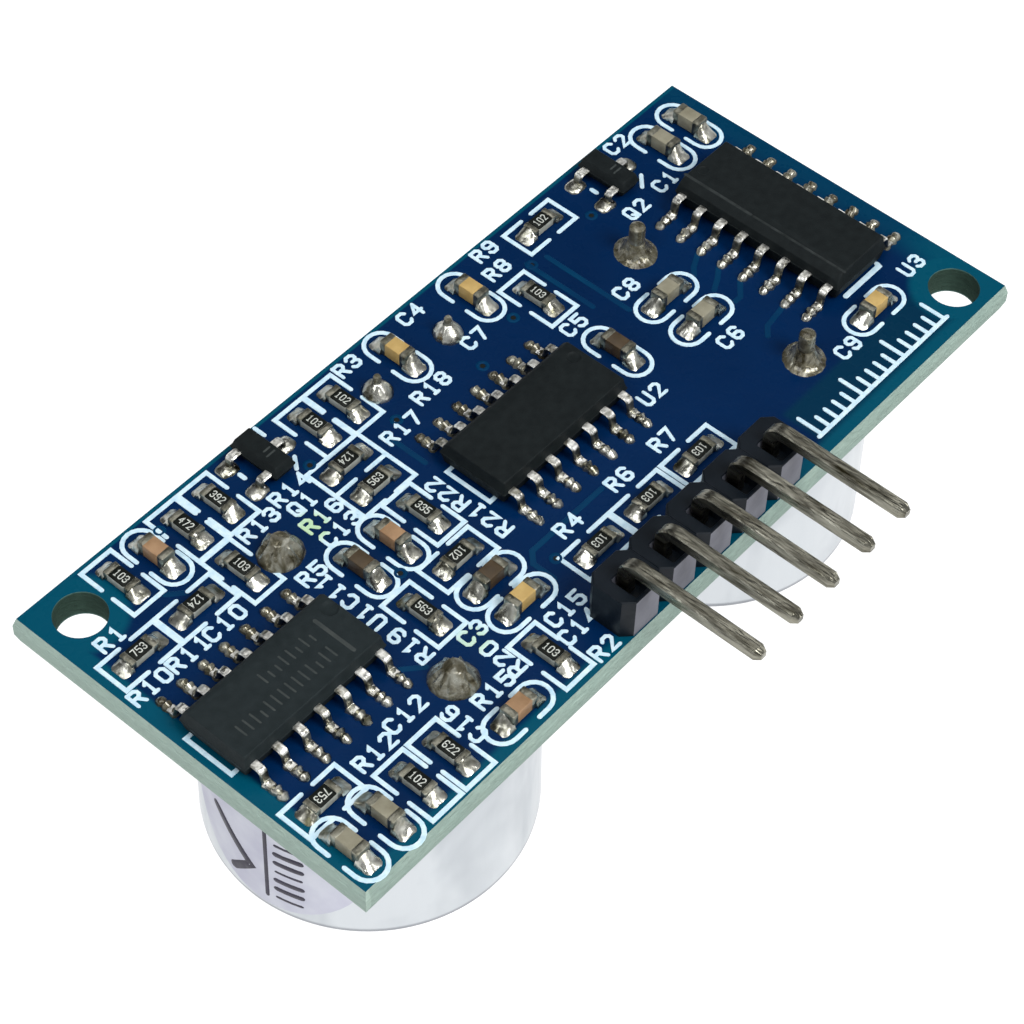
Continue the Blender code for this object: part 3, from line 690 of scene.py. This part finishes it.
# Each reference designator with the x and y of its lower left corner
LEVEL_TEXTS = """
    R1 -21.3 6.0, R10 -22.3 2.95, R11 -20.0 2.95, C10 -17.8 2.95, R12 -18.4 -6.4, C12 -16.15 -6.05,
    R13 -12.95 5.6, R14 -10.55 6.0, Q1 -10.4 5.0, R16 -10.7 3.9, C13 -10.65 2.78, R5 -12.95 2.0,
    R17 -4.55 4.7, R3 -3.05 9.1, R18 -1.85 5.3, C4 1.3 9.1, C7 2.2 5.87, R8 6.2 7.95, R9 6.7 9.2,
    C5 5.95 2.95, C8 9.4 2.6, C6 10.3 -3.0, C2 16.6 9.15, Q2 13.8 5.6, C1 16.2 5.75, C9 13.5 -7.5,
    U3 19.8 -6.6, U2 5.1 -2.5, R4 -3.36 -4.6, R6 0.2 -4.6, R7 3.3 -4.6, C3 -10.65 -5.35,
    C15 -7.36 -7.5, C14 -7.7 -8.55, R2 -7.45 -10.1, R15 -12.7 -8.0
"""
# The same for those that read upwards
UPWARD_TEXTS = """
    R19 -11.75 -4.5, U1 -11.75 -1.8, C11 -11.75 -0.15, C16 -13.25 -8.9, R20 -9.6 -7.9, R21 -4.25 -2.5,
    R22 -4.45 -0.1
"""
# (width, then stops) of the lines by the moulded packages
PACKAGE_MARKS = (
    (SILK_WIDTH, (-21.68, 0.41), (-22.05, 0.41), (-22.05, -2.27), (-21.68, -2.27)),
    (SILK_WIDTH, (-3.55, 1.9), (-3.95, 1.9), (-3.95, -0.68), (-3.55, -0.68)),
    (0.3, (16.8, -5.0), (19.45, -5.0), (19.5, -4.85)),
    (SILK_WIDTH, (-7.9, 9.5), (-7.9, 10.1)),
    (SILK_WIDTH, (-8.35, 7.05), (-7.9, 7.6)),
    (SILK_WIDTH, (15.9, 6.8), (16.5, 7.35)),
    (0.26, (-10.3, 8.4), (-10.3, 8.7)),
    (0.26, (14.1, 8.2), (14.1, 8.5)),
)
SCALE_TICKS = 16
SCALE_START = 9.2
SCALE_LENGTH = 9.6
SCALE_STROKE = 0.24
REAR_RING_RADIUS = 8.6
REAR_STROKE = 0.18


def make_silkscreen():
    shape = Shape()
    ink = Ink(shape)
    for kind, count, half in (("resistor", len(VALUE_CODES), RESISTOR_BRACKET),
                              ("capacitor", len(CAPACITOR_LOOKS), CAPACITOR_BRACKET)):
        for number in range(1, count + 1):
            ink.bracket(f"{kind}_{number:02d}", half)
    for texts, turn in ((LEVEL_TEXTS, 0), (UPWARD_TEXTS, 90)):
        for entry in texts.split(","):
            text, x, y = entry.split()
            ink.text(text, float(x), float(y), turn)
    for width, *line in PACKAGE_MARKS:
        ink.line(line, width)
    for tick in range(SCALE_TICKS):
        x = SCALE_START + SCALE_LENGTH * tick / (SCALE_TICKS - 1)
        ink.line([(x, -9.25), (x, -8.0 if tick % 5 == 0 else -8.55)], SCALE_STROKE)
    ink.line([(9.0, -9.35), (19.0, -9.35)], SCALE_STROKE)
    piece("silkscreen", shape, ["silkscreen"])


def make_rear_silkscreen():
    """Rings round the transducers and a box round the header's joints, on the unseen side."""
    shape = Shape()
    ink = Ink(shape, -1)
    shape.at(0, 0, BOARD_BOTTOM)
    for node in ("receiver_can", "transmitter_can"):
        spot = middle(node)
        ring = arc(spot.x, spot.y, REAR_RING_RADIUS, 0, 360, 96)
        ink.line(ring[:-1] + ring[:1], REAR_STROKE)
    low, high = span("header_housing")
    box = [(low.x, low.y + 0.1), (high.x, low.y + 0.1), (high.x, high.y), (low.x, high.y)]
    ink.line(box + box[:1], REAR_STROKE)
    piece("rear_silkscreen", shape, ["silkscreen"])


# ---- solder

def fillet(shape, x, y, turn, width, height, reach, rng):
    """Solder that climbs an end face at the local origin and runs out along local X to its reach."""
    shape.at(x, y, 0, turn)
    lean = rng.uniform(-0.25, 0.25)
    waves = [(rng.uniform(2, 5), rng.uniform(0, 6.3), rng.uniform(0.04, 0.10)) for _ in range(3)]
    across = [-1 + i / 5 for i in range(11)]
    rings = []
    for u in (-0.15, 0.0, 0.12, 0.26, 0.42, 0.58, 0.74, 0.88, 0.97, 1.0):
        run = max(u, 0.0)
        half = width / 2 * (1 - 0.06 * run - 0.30 * run ** 8)
        crest = height * ((1 - run) ** 1.5 * 0.9 + 0.16 * sqrt(max(0.0, 1 - run ** 3)))
        ring = [(u * reach, half * 0.98, -BURIED), (u * reach, -half * 0.98, -BURIED)]
        for v in across:
            ripple = sum(size * sin(speed * (u + v * 0.7) + start) for speed, start, size in waves)
            rise = crest * (1 - abs(v) ** 3 * 0.85) * (1 + lean * v) * (1 + ripple)
            ring.append((u * reach, v * half, max(0.006, rise)))
        rings.append(ring)
    shape.skin(rings)
    shape.at()


def bead(shape, x, y, turn, stations, rng, look):
    """A long low bead of solder along local X. A station is (place, half width, height)."""
    shape.at(x, y, 0, turn)
    section = arc(0, 0, 1, 0, 180, 8)
    rings = []
    for u, half, height in stations:
        half *= rng.uniform(0.92, 1.08)
        height *= rng.uniform(0.85, 1.15)
        shift = rng.uniform(-0.02, 0.02)
        rings.append([(u, shift + a * half, b * height - BURIED) for a, b in section])
    shape.skin(rings, look)
    shape.at()


def dome(shape, x, y, z, radius, height, core, rng, look, wrinkles, up=1, hollow=1.35):
    """A round joint with wrinkles that run up it. It is a blob if its hollow is below 1, and a cone with
    a flat skirt if it is well above."""
    count = 56
    creases = [(rng.randint(5, 17), rng.uniform(0, 6.3), rng.uniform(0.3, 1.0)) for _ in range(5)]
    total = sum(size for _, _, size in creases)
    rings = []
    for step in range(11):
        run = step / 10
        ring = []
        for i in range(count):
            a = 2 * pi * i / count
            waves = [size * sin(speed * a + start + 1.5 * run) for speed, start, size in creases]
            crease = sum(waves) / total
            swell = sin(pi * min(1.0, run * 1.15)) * wrinkles
            reach = radius * (1 + 0.04 * sin(2 * a + creases[0][1]) + 0.03 * crease)
            r = reach + (core - reach) * run
            rise = height * (0.12 * sqrt(run) + 0.88 * run ** hollow) * (1 + swell * crease)
            ring.append((*polar(x, y, r, a), z + up * (rise - BURIED)))
        rings.append(ring)
    shape.skin([[(px, py, z - up * 0.05) for px, py, _ in rings[0]]] + rings, look)


# ---- chip parts

CHIP_HALF_LENGTH = 0.80
CHIP_HALF_WIDTH = 0.40
BODY_HALF_WIDTH = 0.385


def chip_body(shape, low, top, body, cap):
    """A body, (half its length, gap below, gap above, edge), between two caps, (inner end, edge)."""
    half, below, above, edge = body
    block(shape, -half, half, -BODY_HALF_WIDTH, BODY_HALF_WIDTH, low + below, top - above, 0.03, edge, 0)
    inner, edge = cap
    for x0, x1 in ((-CHIP_HALF_LENGTH, -inner), (inner, CHIP_HALF_LENGTH)):
        block(shape, x0, x1, -CHIP_HALF_WIDTH, CHIP_HALF_WIDTH, low, top, 0.03, edge, 1)


def end_joints(joints, node, width, heights, reaches, rng):
    """Solder at both ends of a chip part, of a height and a reach between two limits."""
    spot = middle(node)
    for side in (0, 180):
        turn = chip_turn(node) + side
        x, y = polar(spot.x, spot.y, CHIP_HALF_LENGTH - BURIED, radians(turn))
        fillet(joints, x, y, turn, width, rng.uniform(*heights), rng.uniform(*reaches), rng)


def make_resistors(joints, rng):
    for number, code in enumerate(VALUE_CODES, 1):
        node = f"resistor_{number:02d}"
        low, high = span(node)
        spot, top = middle(node), high.z
        reading = -90 if chip_turn(node) else 0 if number in UPRIGHT_CODES else 180
        shape = Shape().at(spot.x, spot.y, 0, reading)
        chip_body(shape, low.z, top, (0.78, 0.01, 0.035, 0.02), (0.50, 0.035))
        glaze_top = top - 0.005
        block(shape, -0.49, 0.49, -0.375, 0.375, top - 0.06, glaze_top, 0.04, 0.02, 2)
        for line in letters(code, 0.17, 0.36, 0.27):
            stops = [(a - 0.355, b - 0.18) for a, b in line]
            stroke(shape, stops, 0.062, glaze_top - 0.005, glaze_top + 0.004, 3)
        looks = ["alumina", "chip_end", "glaze", "value_digit"]
        piece(f"chip_{node}", shape, looks, [node])
        end_joints(joints, node, 1.0, (0.36, 0.46), (0.52, 0.64), rng)


def make_capacitors(joints, rng):
    for number, kind in enumerate(CAPACITOR_LOOKS, 1):
        node = f"capacitor_{number:02d}"
        low, high = span(node)
        spot = middle(node)
        shape = Shape().at(spot.x, spot.y, 0, chip_turn(node))
        chip_body(shape, low.z, high.z, (0.74, 0.015, 0.015, 0.05), (0.41, 0.06))
        slot = f"ceramic_{kind}"
        piece(f"chip_{node}", shape, [slot, "chip_end"], [node])
        end_joints(joints, node, 1.02, (0.50, 0.66), (0.6, 0.72), rng)


# ---- moulded packages

LEAD_THICKNESS = 0.18
LEAD_WIDTH = 0.45
BODY_LOW = 0.15
SO_WIDTH = 3.9
SO_LEAD_PITCH = 1.27
SOT_WIDTH = 1.3
SOT_LEAD_PITCH = 1.90
TICK_SPACING = 0.42
# The solder at a lead: (place from its heel, half width, height)
BEADS = {
    "so": ((0.0, 0.20, 0.10), (0.10, 0.28, 0.29), (0.24, 0.29, 0.32), (0.40, 0.22, 0.19),
           (0.54, 0.25, 0.27), (0.70, 0.30, 0.40), (0.86, 0.22, 0.22), (0.98, 0.26, 0.30),
           (1.10, 0.26, 0.30), (1.24, 0.20, 0.14), (1.34, 0.10, 0.04)),
    "sot": ((-0.35, 0.26, 0.04), (-0.22, 0.44, 0.16), (0.0, 0.47, 0.26), (0.25, 0.46, 0.24),
            (0.48, 0.43, 0.20), (0.64, 0.34, 0.09), (0.70, 0.20, 0.02)),
}


def moulded_body(shape, length, width, top, dimple, chamfer):
    """A body that is widest at its parting line. It may have a dimple, (x, y, radius, depth), and a
    chamfer along its local +Y top edge."""
    low, parting = BODY_LOW, (BODY_LOW + top) / 2
    draft, edge, groove, drop = 0.15, 0.045, 0.025, 0.28
    levels = [(draft + edge, low, 0.0), (draft, low + edge, 0.0), (groove, parting - 0.03, 0.0),
              (0.0, parting - 0.02, 0.0), (0.0, parting + 0.02, 0.0), (groove, parting + 0.03, 0.0)]
    if chamfer:
        levels.append((draft * 0.8, top - drop, 0.0))
    levels += [(draft, top - edge, chamfer * 0.85), (draft + edge, top, chamfer)]
    outline = rounded_rectangle(-length / 2, length / 2, -width / 2, width / 2, 0.07, 2, 0.5)
    rings = []
    for inset, z, cut_back in levels:
        wide = 1 - 2 * inset / length
        deep = 1 - (2 * inset + cut_back) / width
        rings.append([(x * wide, y * deep - cut_back / 2, z) for x, y in outline])
    if dimple:
        cx, cy, radius, depth = dimple
        angles = [atan2(y - cy, x - cx) for x, y, _ in rings[-1]]
        for shrink, z in ((1.0, top), (0.86, top - depth * 0.7), (0.6, top - depth)):
            rings.append([(*polar(cx, cy, radius * shrink, a), z) for a in angles])
    shape.skin(rings)


def gull_wing(shape, place, side, width, top, reach):
    """A bent lead: out of the body, down, and along the board. Side is 1 or -1 along local Y."""
    parting = (BODY_LOW + top) / 2
    foot = LEAD_THICKNESS / 2 + 0.03
    knee, heel = width / 2 + 0.50, width / 2 + 0.62
    corners = [(width / 2 - 0.2, parting), (knee, parting), (heel, foot), (reach, foot)]
    bend = 0.25 if top > 1.2 else 0.17
    path = [(p.x, p.y, 1.0) for p in rounded_line(corners, bend, 6)]
    section = [(place + across, up) for across, up in bar_section(LEAD_WIDTH, LEAD_THICKNESS, 0.06)]
    sweep(shape, path, section, 1, side)


def make_package(node, name, turn, kind, top, joints, rng, body="epoxy", dimple=None, chamfer=0.0,
                 marks=(), mark_look="package_mark"):
    """A moulded part with its leads and joints. Marks are (line, width) on its top, in its own frame."""
    low, high = span(node)
    spot = middle(node)
    size = high - low
    along, across = (size.y, size.x) if turn else (size.x, size.y)
    if kind == "so":
        width, count = SO_WIDTH, round((along - 1.0) / SO_LEAD_PITCH) + 1
        places = [(i - (count - 1) / 2) * SO_LEAD_PITCH for i in range(count)]
        leads = [(place, side) for place in places for side in (-1, 1)]
    else:
        width = SOT_WIDTH
        leads = [(-SOT_LEAD_PITCH / 2, 1), (SOT_LEAD_PITCH / 2, 1), (0.0, -1)]
    shape = Shape().at(spot.x, spot.y, 0, turn)
    moulded_body(shape, along, width, top, dimple, chamfer)
    for place, side in leads:
        gull_wing(shape, place, side, width, top, across / 2)
    for line, thick in marks:
        stroke(shape, line, thick, top - 0.004, top + 0.003, 2)
    piece(name, shape, [body, "tinned_lead", mark_look], [node])
    for place, side in leads:
        x, y = polar(spot.x, spot.y, place, radians(turn))
        stations = [(width / 2 + 0.55 + run, half, height) for run, half, height in BEADS[kind]]
        # Painted shade: the beads of the far row take the darker fluxed solder.
        shaded_row = kind == "so" and side == (1 if turn == 0 else -1)
        bead(joints, x, y, turn + 90 * side, stations, rng, 1 if shaded_row else 0)


def tick_row(x0, x1, y, height, seed):
    """Faint upright ticks in place of a printed line."""
    rng = random.Random(seed)
    lines = []
    x = x0
    while x < x1:
        rise = height * rng.choice((1.0, 1.0, 0.6))
        lines.append(([(x, y), (x, y + rise)], 0.12))
        x += TICK_SPACING
    return lines


def make_packages(joints, rng):
    bar = [([(2.85, 0.85), (2.85, -1.4)], 0.22)]
    marks = bar + tick_row(-0.8, 2.2, 0.15, 0.55, 3) + tick_row(-3.3, 2.3, -1.05, 0.6, 4)
    make_package("echo_amplifier_ic", "echo_amplifier_package", 0, "so", 1.5, joints, rng, "epoxy_grey",
                 (3.75, 0.85, 0.42, 0.09), 0.22, marks)
    make_package("controller_ic", "controller_package", 0, "so", 1.5, joints, rng, "epoxy",
                 (3.6, 0.75, 0.36, 0.07), 0.22)
    # Painted highlight: light lines along the driver's chamfer edge.
    edge_highlight = [([(-4.8, 1.34), (0.6, 1.35)], 0.16), ([(0.8, 1.35), (4.8, 1.34)], 0.19)]
    make_package("driver_ic", "driver_package", 90, "so", 1.66, joints, rng, "epoxy",
                 (4.35, 0.55, 0.30, 0.05), 0.30, edge_highlight, "highlight_epoxy")
    small_marks = [([(-0.5, -0.25), (-0.5, 0.2)], 0.12), ([(-0.2, -0.25), (-0.2, 0.1)], 0.12)]
    for side in ("left", "right"):
        make_package(f"transistor_{side}", f"transistor_{side}_package", 90, "sot", 1.05, joints, rng,
                     marks=small_marks)


# ---- header

HEADER_PINS = 5
HEADER_PITCH = 2.54
HEADER_NOTCH = 0.45
PIN_SIDE = 0.64
PIN_BEND_RADIUS = 0.7
PIN_TAPER = 0.3
PIN_TIP = 0.55  # the tip's width as a share of the pin's


def header_block(shape, x, low, high):
    """One of the five blocks: eight-sided, with a pit round its pin."""
    wall = ((x - HEADER_PITCH / 2, x + HEADER_PITCH / 2, low.y, high.y), HEADER_NOTCH)
    pit = ((x - PIN_SIDE, x + PIN_SIDE, low.y + 0.16, (low.y + high.y) / 2 + 0.42), 0.08)
    levels = ((wall, 0.0, low.z), (wall, 0.0, high.z - 0.05), (wall, 0.05, high.z),
              (pit, 0.0, high.z), (pit, 0.04, high.z - 0.05), (pit, 0.12, high.z - 0.9))
    shape.skin([layer(box, inset, corner, z, 1) for (box, corner), inset, z in levels])


def make_header(joints, rng):
    low, high = span("header_housing")
    pin_places = [middle(f"header_pin_{number}").x for number in range(1, HEADER_PINS + 1)]
    shape = Shape()
    for x in pin_places:
        header_block(shape, x, low, high)
    piece("header_strip", shape, ["header_plastic"], ["header_housing"], 25)

    for number, x in enumerate(pin_places, 1):
        pin_low, pin_high = span(f"header_pin_{number}")
        run = pin_high.z - PIN_SIDE / 2
        y = (low.y + high.y) / 2
        corners = [(y, pin_low.z + PIN_TAPER), (y, run), (pin_low.y + PIN_TAPER, run)]
        path = [(y, pin_low.z, PIN_TIP)]
        path += [(p.x, p.y, 1.0) for p in rounded_line(corners, PIN_BEND_RADIUS, 8)]
        path.append((pin_low.y, run, PIN_TIP))
        pin = Shape().at(x, 0, 0)
        sweep(pin, path, bar_section(PIN_SIDE, PIN_SIDE, 0.07))
        piece(f"bent_pin_{number}", pin, ["pin"], [f"header_pin_{number}"], 18)
        dome(joints, x, y, BOARD_BOTTOM, 0.95, 0.9, 0.36, rng, 0, 0.06, -1)


# ---- transducers

CAN_RADIUS = 8.0
CAN_TAPER = 0.2
GRILLE_REACH = 6.75
WIRE_PITCH = 0.62
WIRE_RADIUS = 0.075
PIN_REACH = 5.1
PIN_RADIUS = 0.4


def can_profile(low, high):
    """(radius, height) pairs round the drawn shell, whose back edge is crimped over the base."""
    front, back, wall, edge = CAN_RADIUS, CAN_RADIUS - CAN_TAPER, 0.45, 0.6
    side = arc(front - edge, low + edge, edge, -90, 0, 8) + arc(back - edge, high - edge, edge, 0, 90, 8)
    inside = [(6.8, high), (6.75, high - 0.05), (6.75, high - wall), (7.3, high - wall),
              (front - wall, low + wall + 0.1), (6.6, low + wall), (6.5, low + wall - 0.1), (6.5, low + 0.1)]
    return side + inside + [(6.6, low)]


def can_radius(z, low, high):
    return CAN_RADIUS - CAN_TAPER * (z - low) / (high - low)


def make_grille(name, node, x, y):
    """Two sets of crimped wires woven over and under each other inside a flat rim."""
    low, high = span(node)
    shape = Shape()
    z = (low.z + high.z) / 2
    count = int(GRILLE_REACH / WIRE_PITCH)
    for across in range(-count, count + 1):
        offset = across * WIRE_PITCH
        half = sqrt(GRILLE_REACH * GRILLE_REACH - offset * offset)
        steps = max(4, int(2 * half / (WIRE_PITCH / 3)))
        for flip in (0, 1):
            rings = []
            for step in range(steps + 1):
                t = -half + 2 * half * step / steps
                wave = cos(pi * t / WIRE_PITCH) * (1 if (across + flip) % 2 else -1)
                ring = []
                for a, b in arc(0, 0, WIRE_RADIUS, 0, 300, 5):
                    px, py = (t, offset + a) if flip else (offset + a, t)
                    ring.append((x + px, y + py, z + wave * WIRE_RADIUS * 0.95 + b))
                rings.append(ring)
            shape.skin(rings)
    inner, outer, half = 6.6, (high.x - low.x) / 2, 0.13
    rim = [(inner, z - half), (outer, z - half), (outer, z + half), (inner, z + half)]
    revolve(shape, x, y, rim, 64, 0, True)
    piece(name, shape, ["grille_wire"], [node], 60)


def make_transducer(role, joints, rng):
    can_low, can_high = span(f"{role}_can")
    spot = middle(f"{role}_can")
    shape = Shape()
    revolve(shape, spot.x, spot.y, can_profile(can_low.z, can_high.z), 128, 0, True)
    piece(f"{role}_shell", shape, ["can"], [f"{role}_can"], 40)
    make_grille(f"{role}_mesh", f"{role}_grille", spot.x, spot.y)

    base_low, base_high = span(f"{role}_base")
    outer = (base_high.x - base_low.x) / 2
    disc_top = base_low.z + 1.6
    shape = Shape()
    profile = [(0.2, base_low.z)] + arc(outer - 0.1, base_low.z + 0.1, 0.1, -90, 0, 3)
    profile += arc(outer - 0.1, disc_top - 0.1, 0.1, 0, 90, 3) + [(0.2, disc_top)]
    revolve(shape, spot.x, spot.y, profile, 72)
    tip = base_high.z
    pin_ys = (spot.y + PIN_REACH, spot.y - PIN_REACH)
    for y in pin_ys:
        rod = [(PIN_RADIUS, base_low.z - 0.8), (PIN_RADIUS, tip - 0.12), (PIN_RADIUS * 0.92, tip - 0.04),
               (PIN_RADIUS * 0.7, tip)]
        revolve(shape, spot.x, y, rod, 24, 1)
    piece(f"{role}_pin_base", shape, ["phenolic", "fluxed_solder"], [f"{role}_base"], 40)
    for y in pin_ys:
        size = rng.uniform(1.06, 1.14)
        height, hollow, wrinkles = (1.05, 1.0, 0.45) if role == "receiver" else (0.80, 2.4, 0.30)
        dome(joints, spot.x, y, 0, size, height, 0.43, rng, 1, wrinkles, 1, hollow)


LABEL_AZIMUTH = 188
LABEL_RADIUS = 5.0
LABEL_THICKNESS = 0.09
LABEL_BARS = 12


def make_label():
    """The round check label on the receiver's can, with a tick beside a rule and bars behind it."""
    can_low, can_high = span("receiver_can")
    spot = middle("receiver_can")
    height = middle("check_label").z

    def on_can(u, v, w):
        z = height + v
        radius = can_radius(z, can_low.z, can_high.z) + 0.03
        return *polar(spot.x, spot.y, radius + w, radians(LABEL_AZIMUTH) + u / radius), z

    shape = Shape()
    shape.wrap = on_can
    parts = (0.02, 0.2, 0.4, 0.6, 0.8, 0.95, 1.0)
    bottom = [circle(0, 0, 0, LABEL_RADIUS * part, 56) for part in parts]
    top = [circle(0, 0, LABEL_THICKNESS, LABEL_RADIUS * part, 56) for part in reversed(parts)]
    shape.skin(bottom + top)

    rule = [(0.0, -4.3), (0.0, 4.3)]
    tick = [(-2.0, -3.9), (-0.9, -2.7), (-3.1, -0.3)]
    printed = [(rule, 0.24), (tick, 0.5)]
    for number in range(LABEL_BARS):
        v = -4.1 + 0.7 * number
        printed.append(([(0.55, v), (1.75, v)], 0.36 if number % 3 else 0.2))
    low, high = LABEL_THICKNESS - 0.01, LABEL_THICKNESS + 0.008
    for line, width in printed:
        stroke(shape, subdivided(line, 0.4) + line[-1:], width, low, high, 1)
    piece("sticker", shape, ["label", "label_ink"], ["check_label"], 50)


# ---- crystal

CRYSTAL_STUB = 1.1
CRYSTAL_PIN_REACH = 2.44
CRYSTAL_PIN_RADIUS = 0.20


def make_crystal(joints, rng):
    """A deep-drawn case with a flange, and its two leads."""
    low, high = span("quartz_crystal")
    spot = middle("quartz_crystal")
    top = BOARD_BOTTOM - 0.1
    case_top = top - 0.45
    side_inset, edge = 0.5, 0.35
    quarter = [radians(a) for a in (0, 22, 45, 67, 90)]
    levels = [(side_inset + edge * (1 - sin(a)), low.z + edge * (1 - cos(a))) for a in quarter]
    levels += [(side_inset, case_top - 0.12), (side_inset - 0.08, case_top - 0.02), (0.05, case_top),
               (0.0, case_top + 0.06), (0.0, top - 0.06), (0.05, top)]
    box, end_radius = (low.x, high.x, low.y, high.y), (high.y - low.y) / 2 - 0.01
    shape = Shape()
    shape.skin([layer(box, inset, end_radius - inset, z, 12) for inset, z in levels])
    rod = [(CRYSTAL_PIN_RADIUS, top - 0.1), (CRYSTAL_PIN_RADIUS, CRYSTAL_STUB - 0.08),
           (CRYSTAL_PIN_RADIUS * 0.8, CRYSTAL_STUB)]
    for x in (spot.x - CRYSTAL_PIN_REACH, spot.x + CRYSTAL_PIN_REACH):
        revolve(shape, x, spot.y, rod, 16, 1)
        dome(joints, x, spot.y, 0, 0.76, 0.72, 0.22, rng, 0, 0.08, 1, 0.75)
    looks = ["crystal_case", "fluxed_solder"]
    piece("crystal_case", shape, looks, ["quartz_crystal"], 30)


# ---- set

FLOOR_HALF = 1.5  # metres


def make_floor():
    mesh = bpy.data.meshes.new("floor")
    corners = [(-1, -1), (1, -1), (1, 1), (-1, 1)]
    mesh.from_pydata([(x * FLOOR_HALF, y * FLOOR_HALF, 0) for x, y in corners], [], [(0, 1, 2, 3)])
    look = Look("floor", (0.15, 0.15, 0.15), 0.8, specular=0.1)
    look.fill(look.shader, {"Emission Color": (1.0, 1.0, 1.0), "Emission Strength": 1.0})
    mesh.materials.append(look.material)
    add("floor", mesh)


def towards(azimuth, elevation):
    """The way from the object to a light or a viewer. Azimuth 0 is the -Y side and 90 is +X."""
    a, e = radians(azimuth), radians(elevation)
    return Vector((sin(a) * cos(e), -cos(a) * cos(e), sin(e)))


def aim(obj, place, away, roll=0.0):
    """Puts a light or a camera at a place in metres, looking back along away."""
    obj.location = place
    obj.rotation_mode = "QUATERNION"
    level = (-away).to_track_quat("-Z", "Y")
    obj.rotation_quaternion = level @ Quaternion((0, 0, 1), radians(roll))


def area_light(name, azimuth, elevation, distance, size, power, colour=(1.0, 1.0, 1.0)):
    """A square soft light that points at the object. Its distance and size are in metres."""
    light = bpy.data.lights.new(name, "AREA")
    light.size = size
    light.energy = power
    light.color = colour
    away = towards(azimuth, elevation)
    aim(add(name, light), BOARD + away * distance, away)


def make_sky():
    """White near the horizon, and dimmer above the +Y side than above the -Y side."""
    world = bpy.data.worlds.new("studio")
    world.use_nodes = True
    nodes, links = world.node_tree.nodes, world.node_tree.links
    split = nodes.new("ShaderNodeSeparateXYZ")
    links.new(nodes.new("ShaderNodeTexCoord").outputs["Generated"], split.inputs[0])
    brighter = nodes.new("ShaderNodeMath")
    brighter.operation = "MAXIMUM"
    fades = (("Y", -0.5, 0.7, 0.34, 0.07), ("Z", 0.16, 0.24, 1.1, 0.0))
    for number, (axis, *limits) in enumerate(fades):
        fade = nodes.new("ShaderNodeMapRange")
        links.new(split.outputs[axis], fade.inputs["Value"])
        for socket, value in zip(("From Min", "From Max", "To Min", "To Max"), limits):
            fade.inputs[socket].default_value = value
        links.new(fade.outputs["Result"], brighter.inputs[number])
    background = nodes["Background"]
    links.new(brighter.outputs["Value"], background.inputs["Strength"])
    background.inputs["Color"].default_value = (0.92, 0.95, 1.0, 1.0)
    bpy.context.scene.world = world


def make_lights():
    area_light("key", 5, 48, 0.55, 0.24, 2.6)
    area_light("left_fill", -95, 50, 0.60, 0.30, 1.25, (0.95, 0.97, 1.0))
    area_light("top", -40, 78, 0.60, 0.30, 0.9)
    area_light("far", 125, 62, 0.60, 0.26, 0.28)


def make_camera():
    camera = bpy.data.cameras.new("camera")
    camera.lens = CAMERA_LENS
    camera.clip_start = 0.01
    obj = add("camera", camera)
    aim(obj, BOARD + Vector(CAMERA_PLACE) * MM, towards(CAMERA_AZIMUTH, CAMERA_ELEVATION), CAMERA_ROLL)
    bpy.context.scene.camera = obj
    bpy.context.scene.view_settings.view_transform = "Standard"


def main():
    rng = random.Random(7)
    make_camera()
    make_sky()
    make_lights()
    make_floor()
    dress_cad_nodes()
    make_traces()
    make_silkscreen()
    make_rear_silkscreen()
    joints = Shape()
    make_resistors(joints, rng)
    make_capacitors(joints, rng)
    make_packages(joints, rng)
    make_header(joints, rng)
    make_transducer("receiver", joints, rng)
    make_transducer("transmitter", joints, rng)
    make_label()
    make_crystal(joints, rng)
    piece("solder_joints", joints, ["solder", "fluxed_solder"], (), 55)


main()
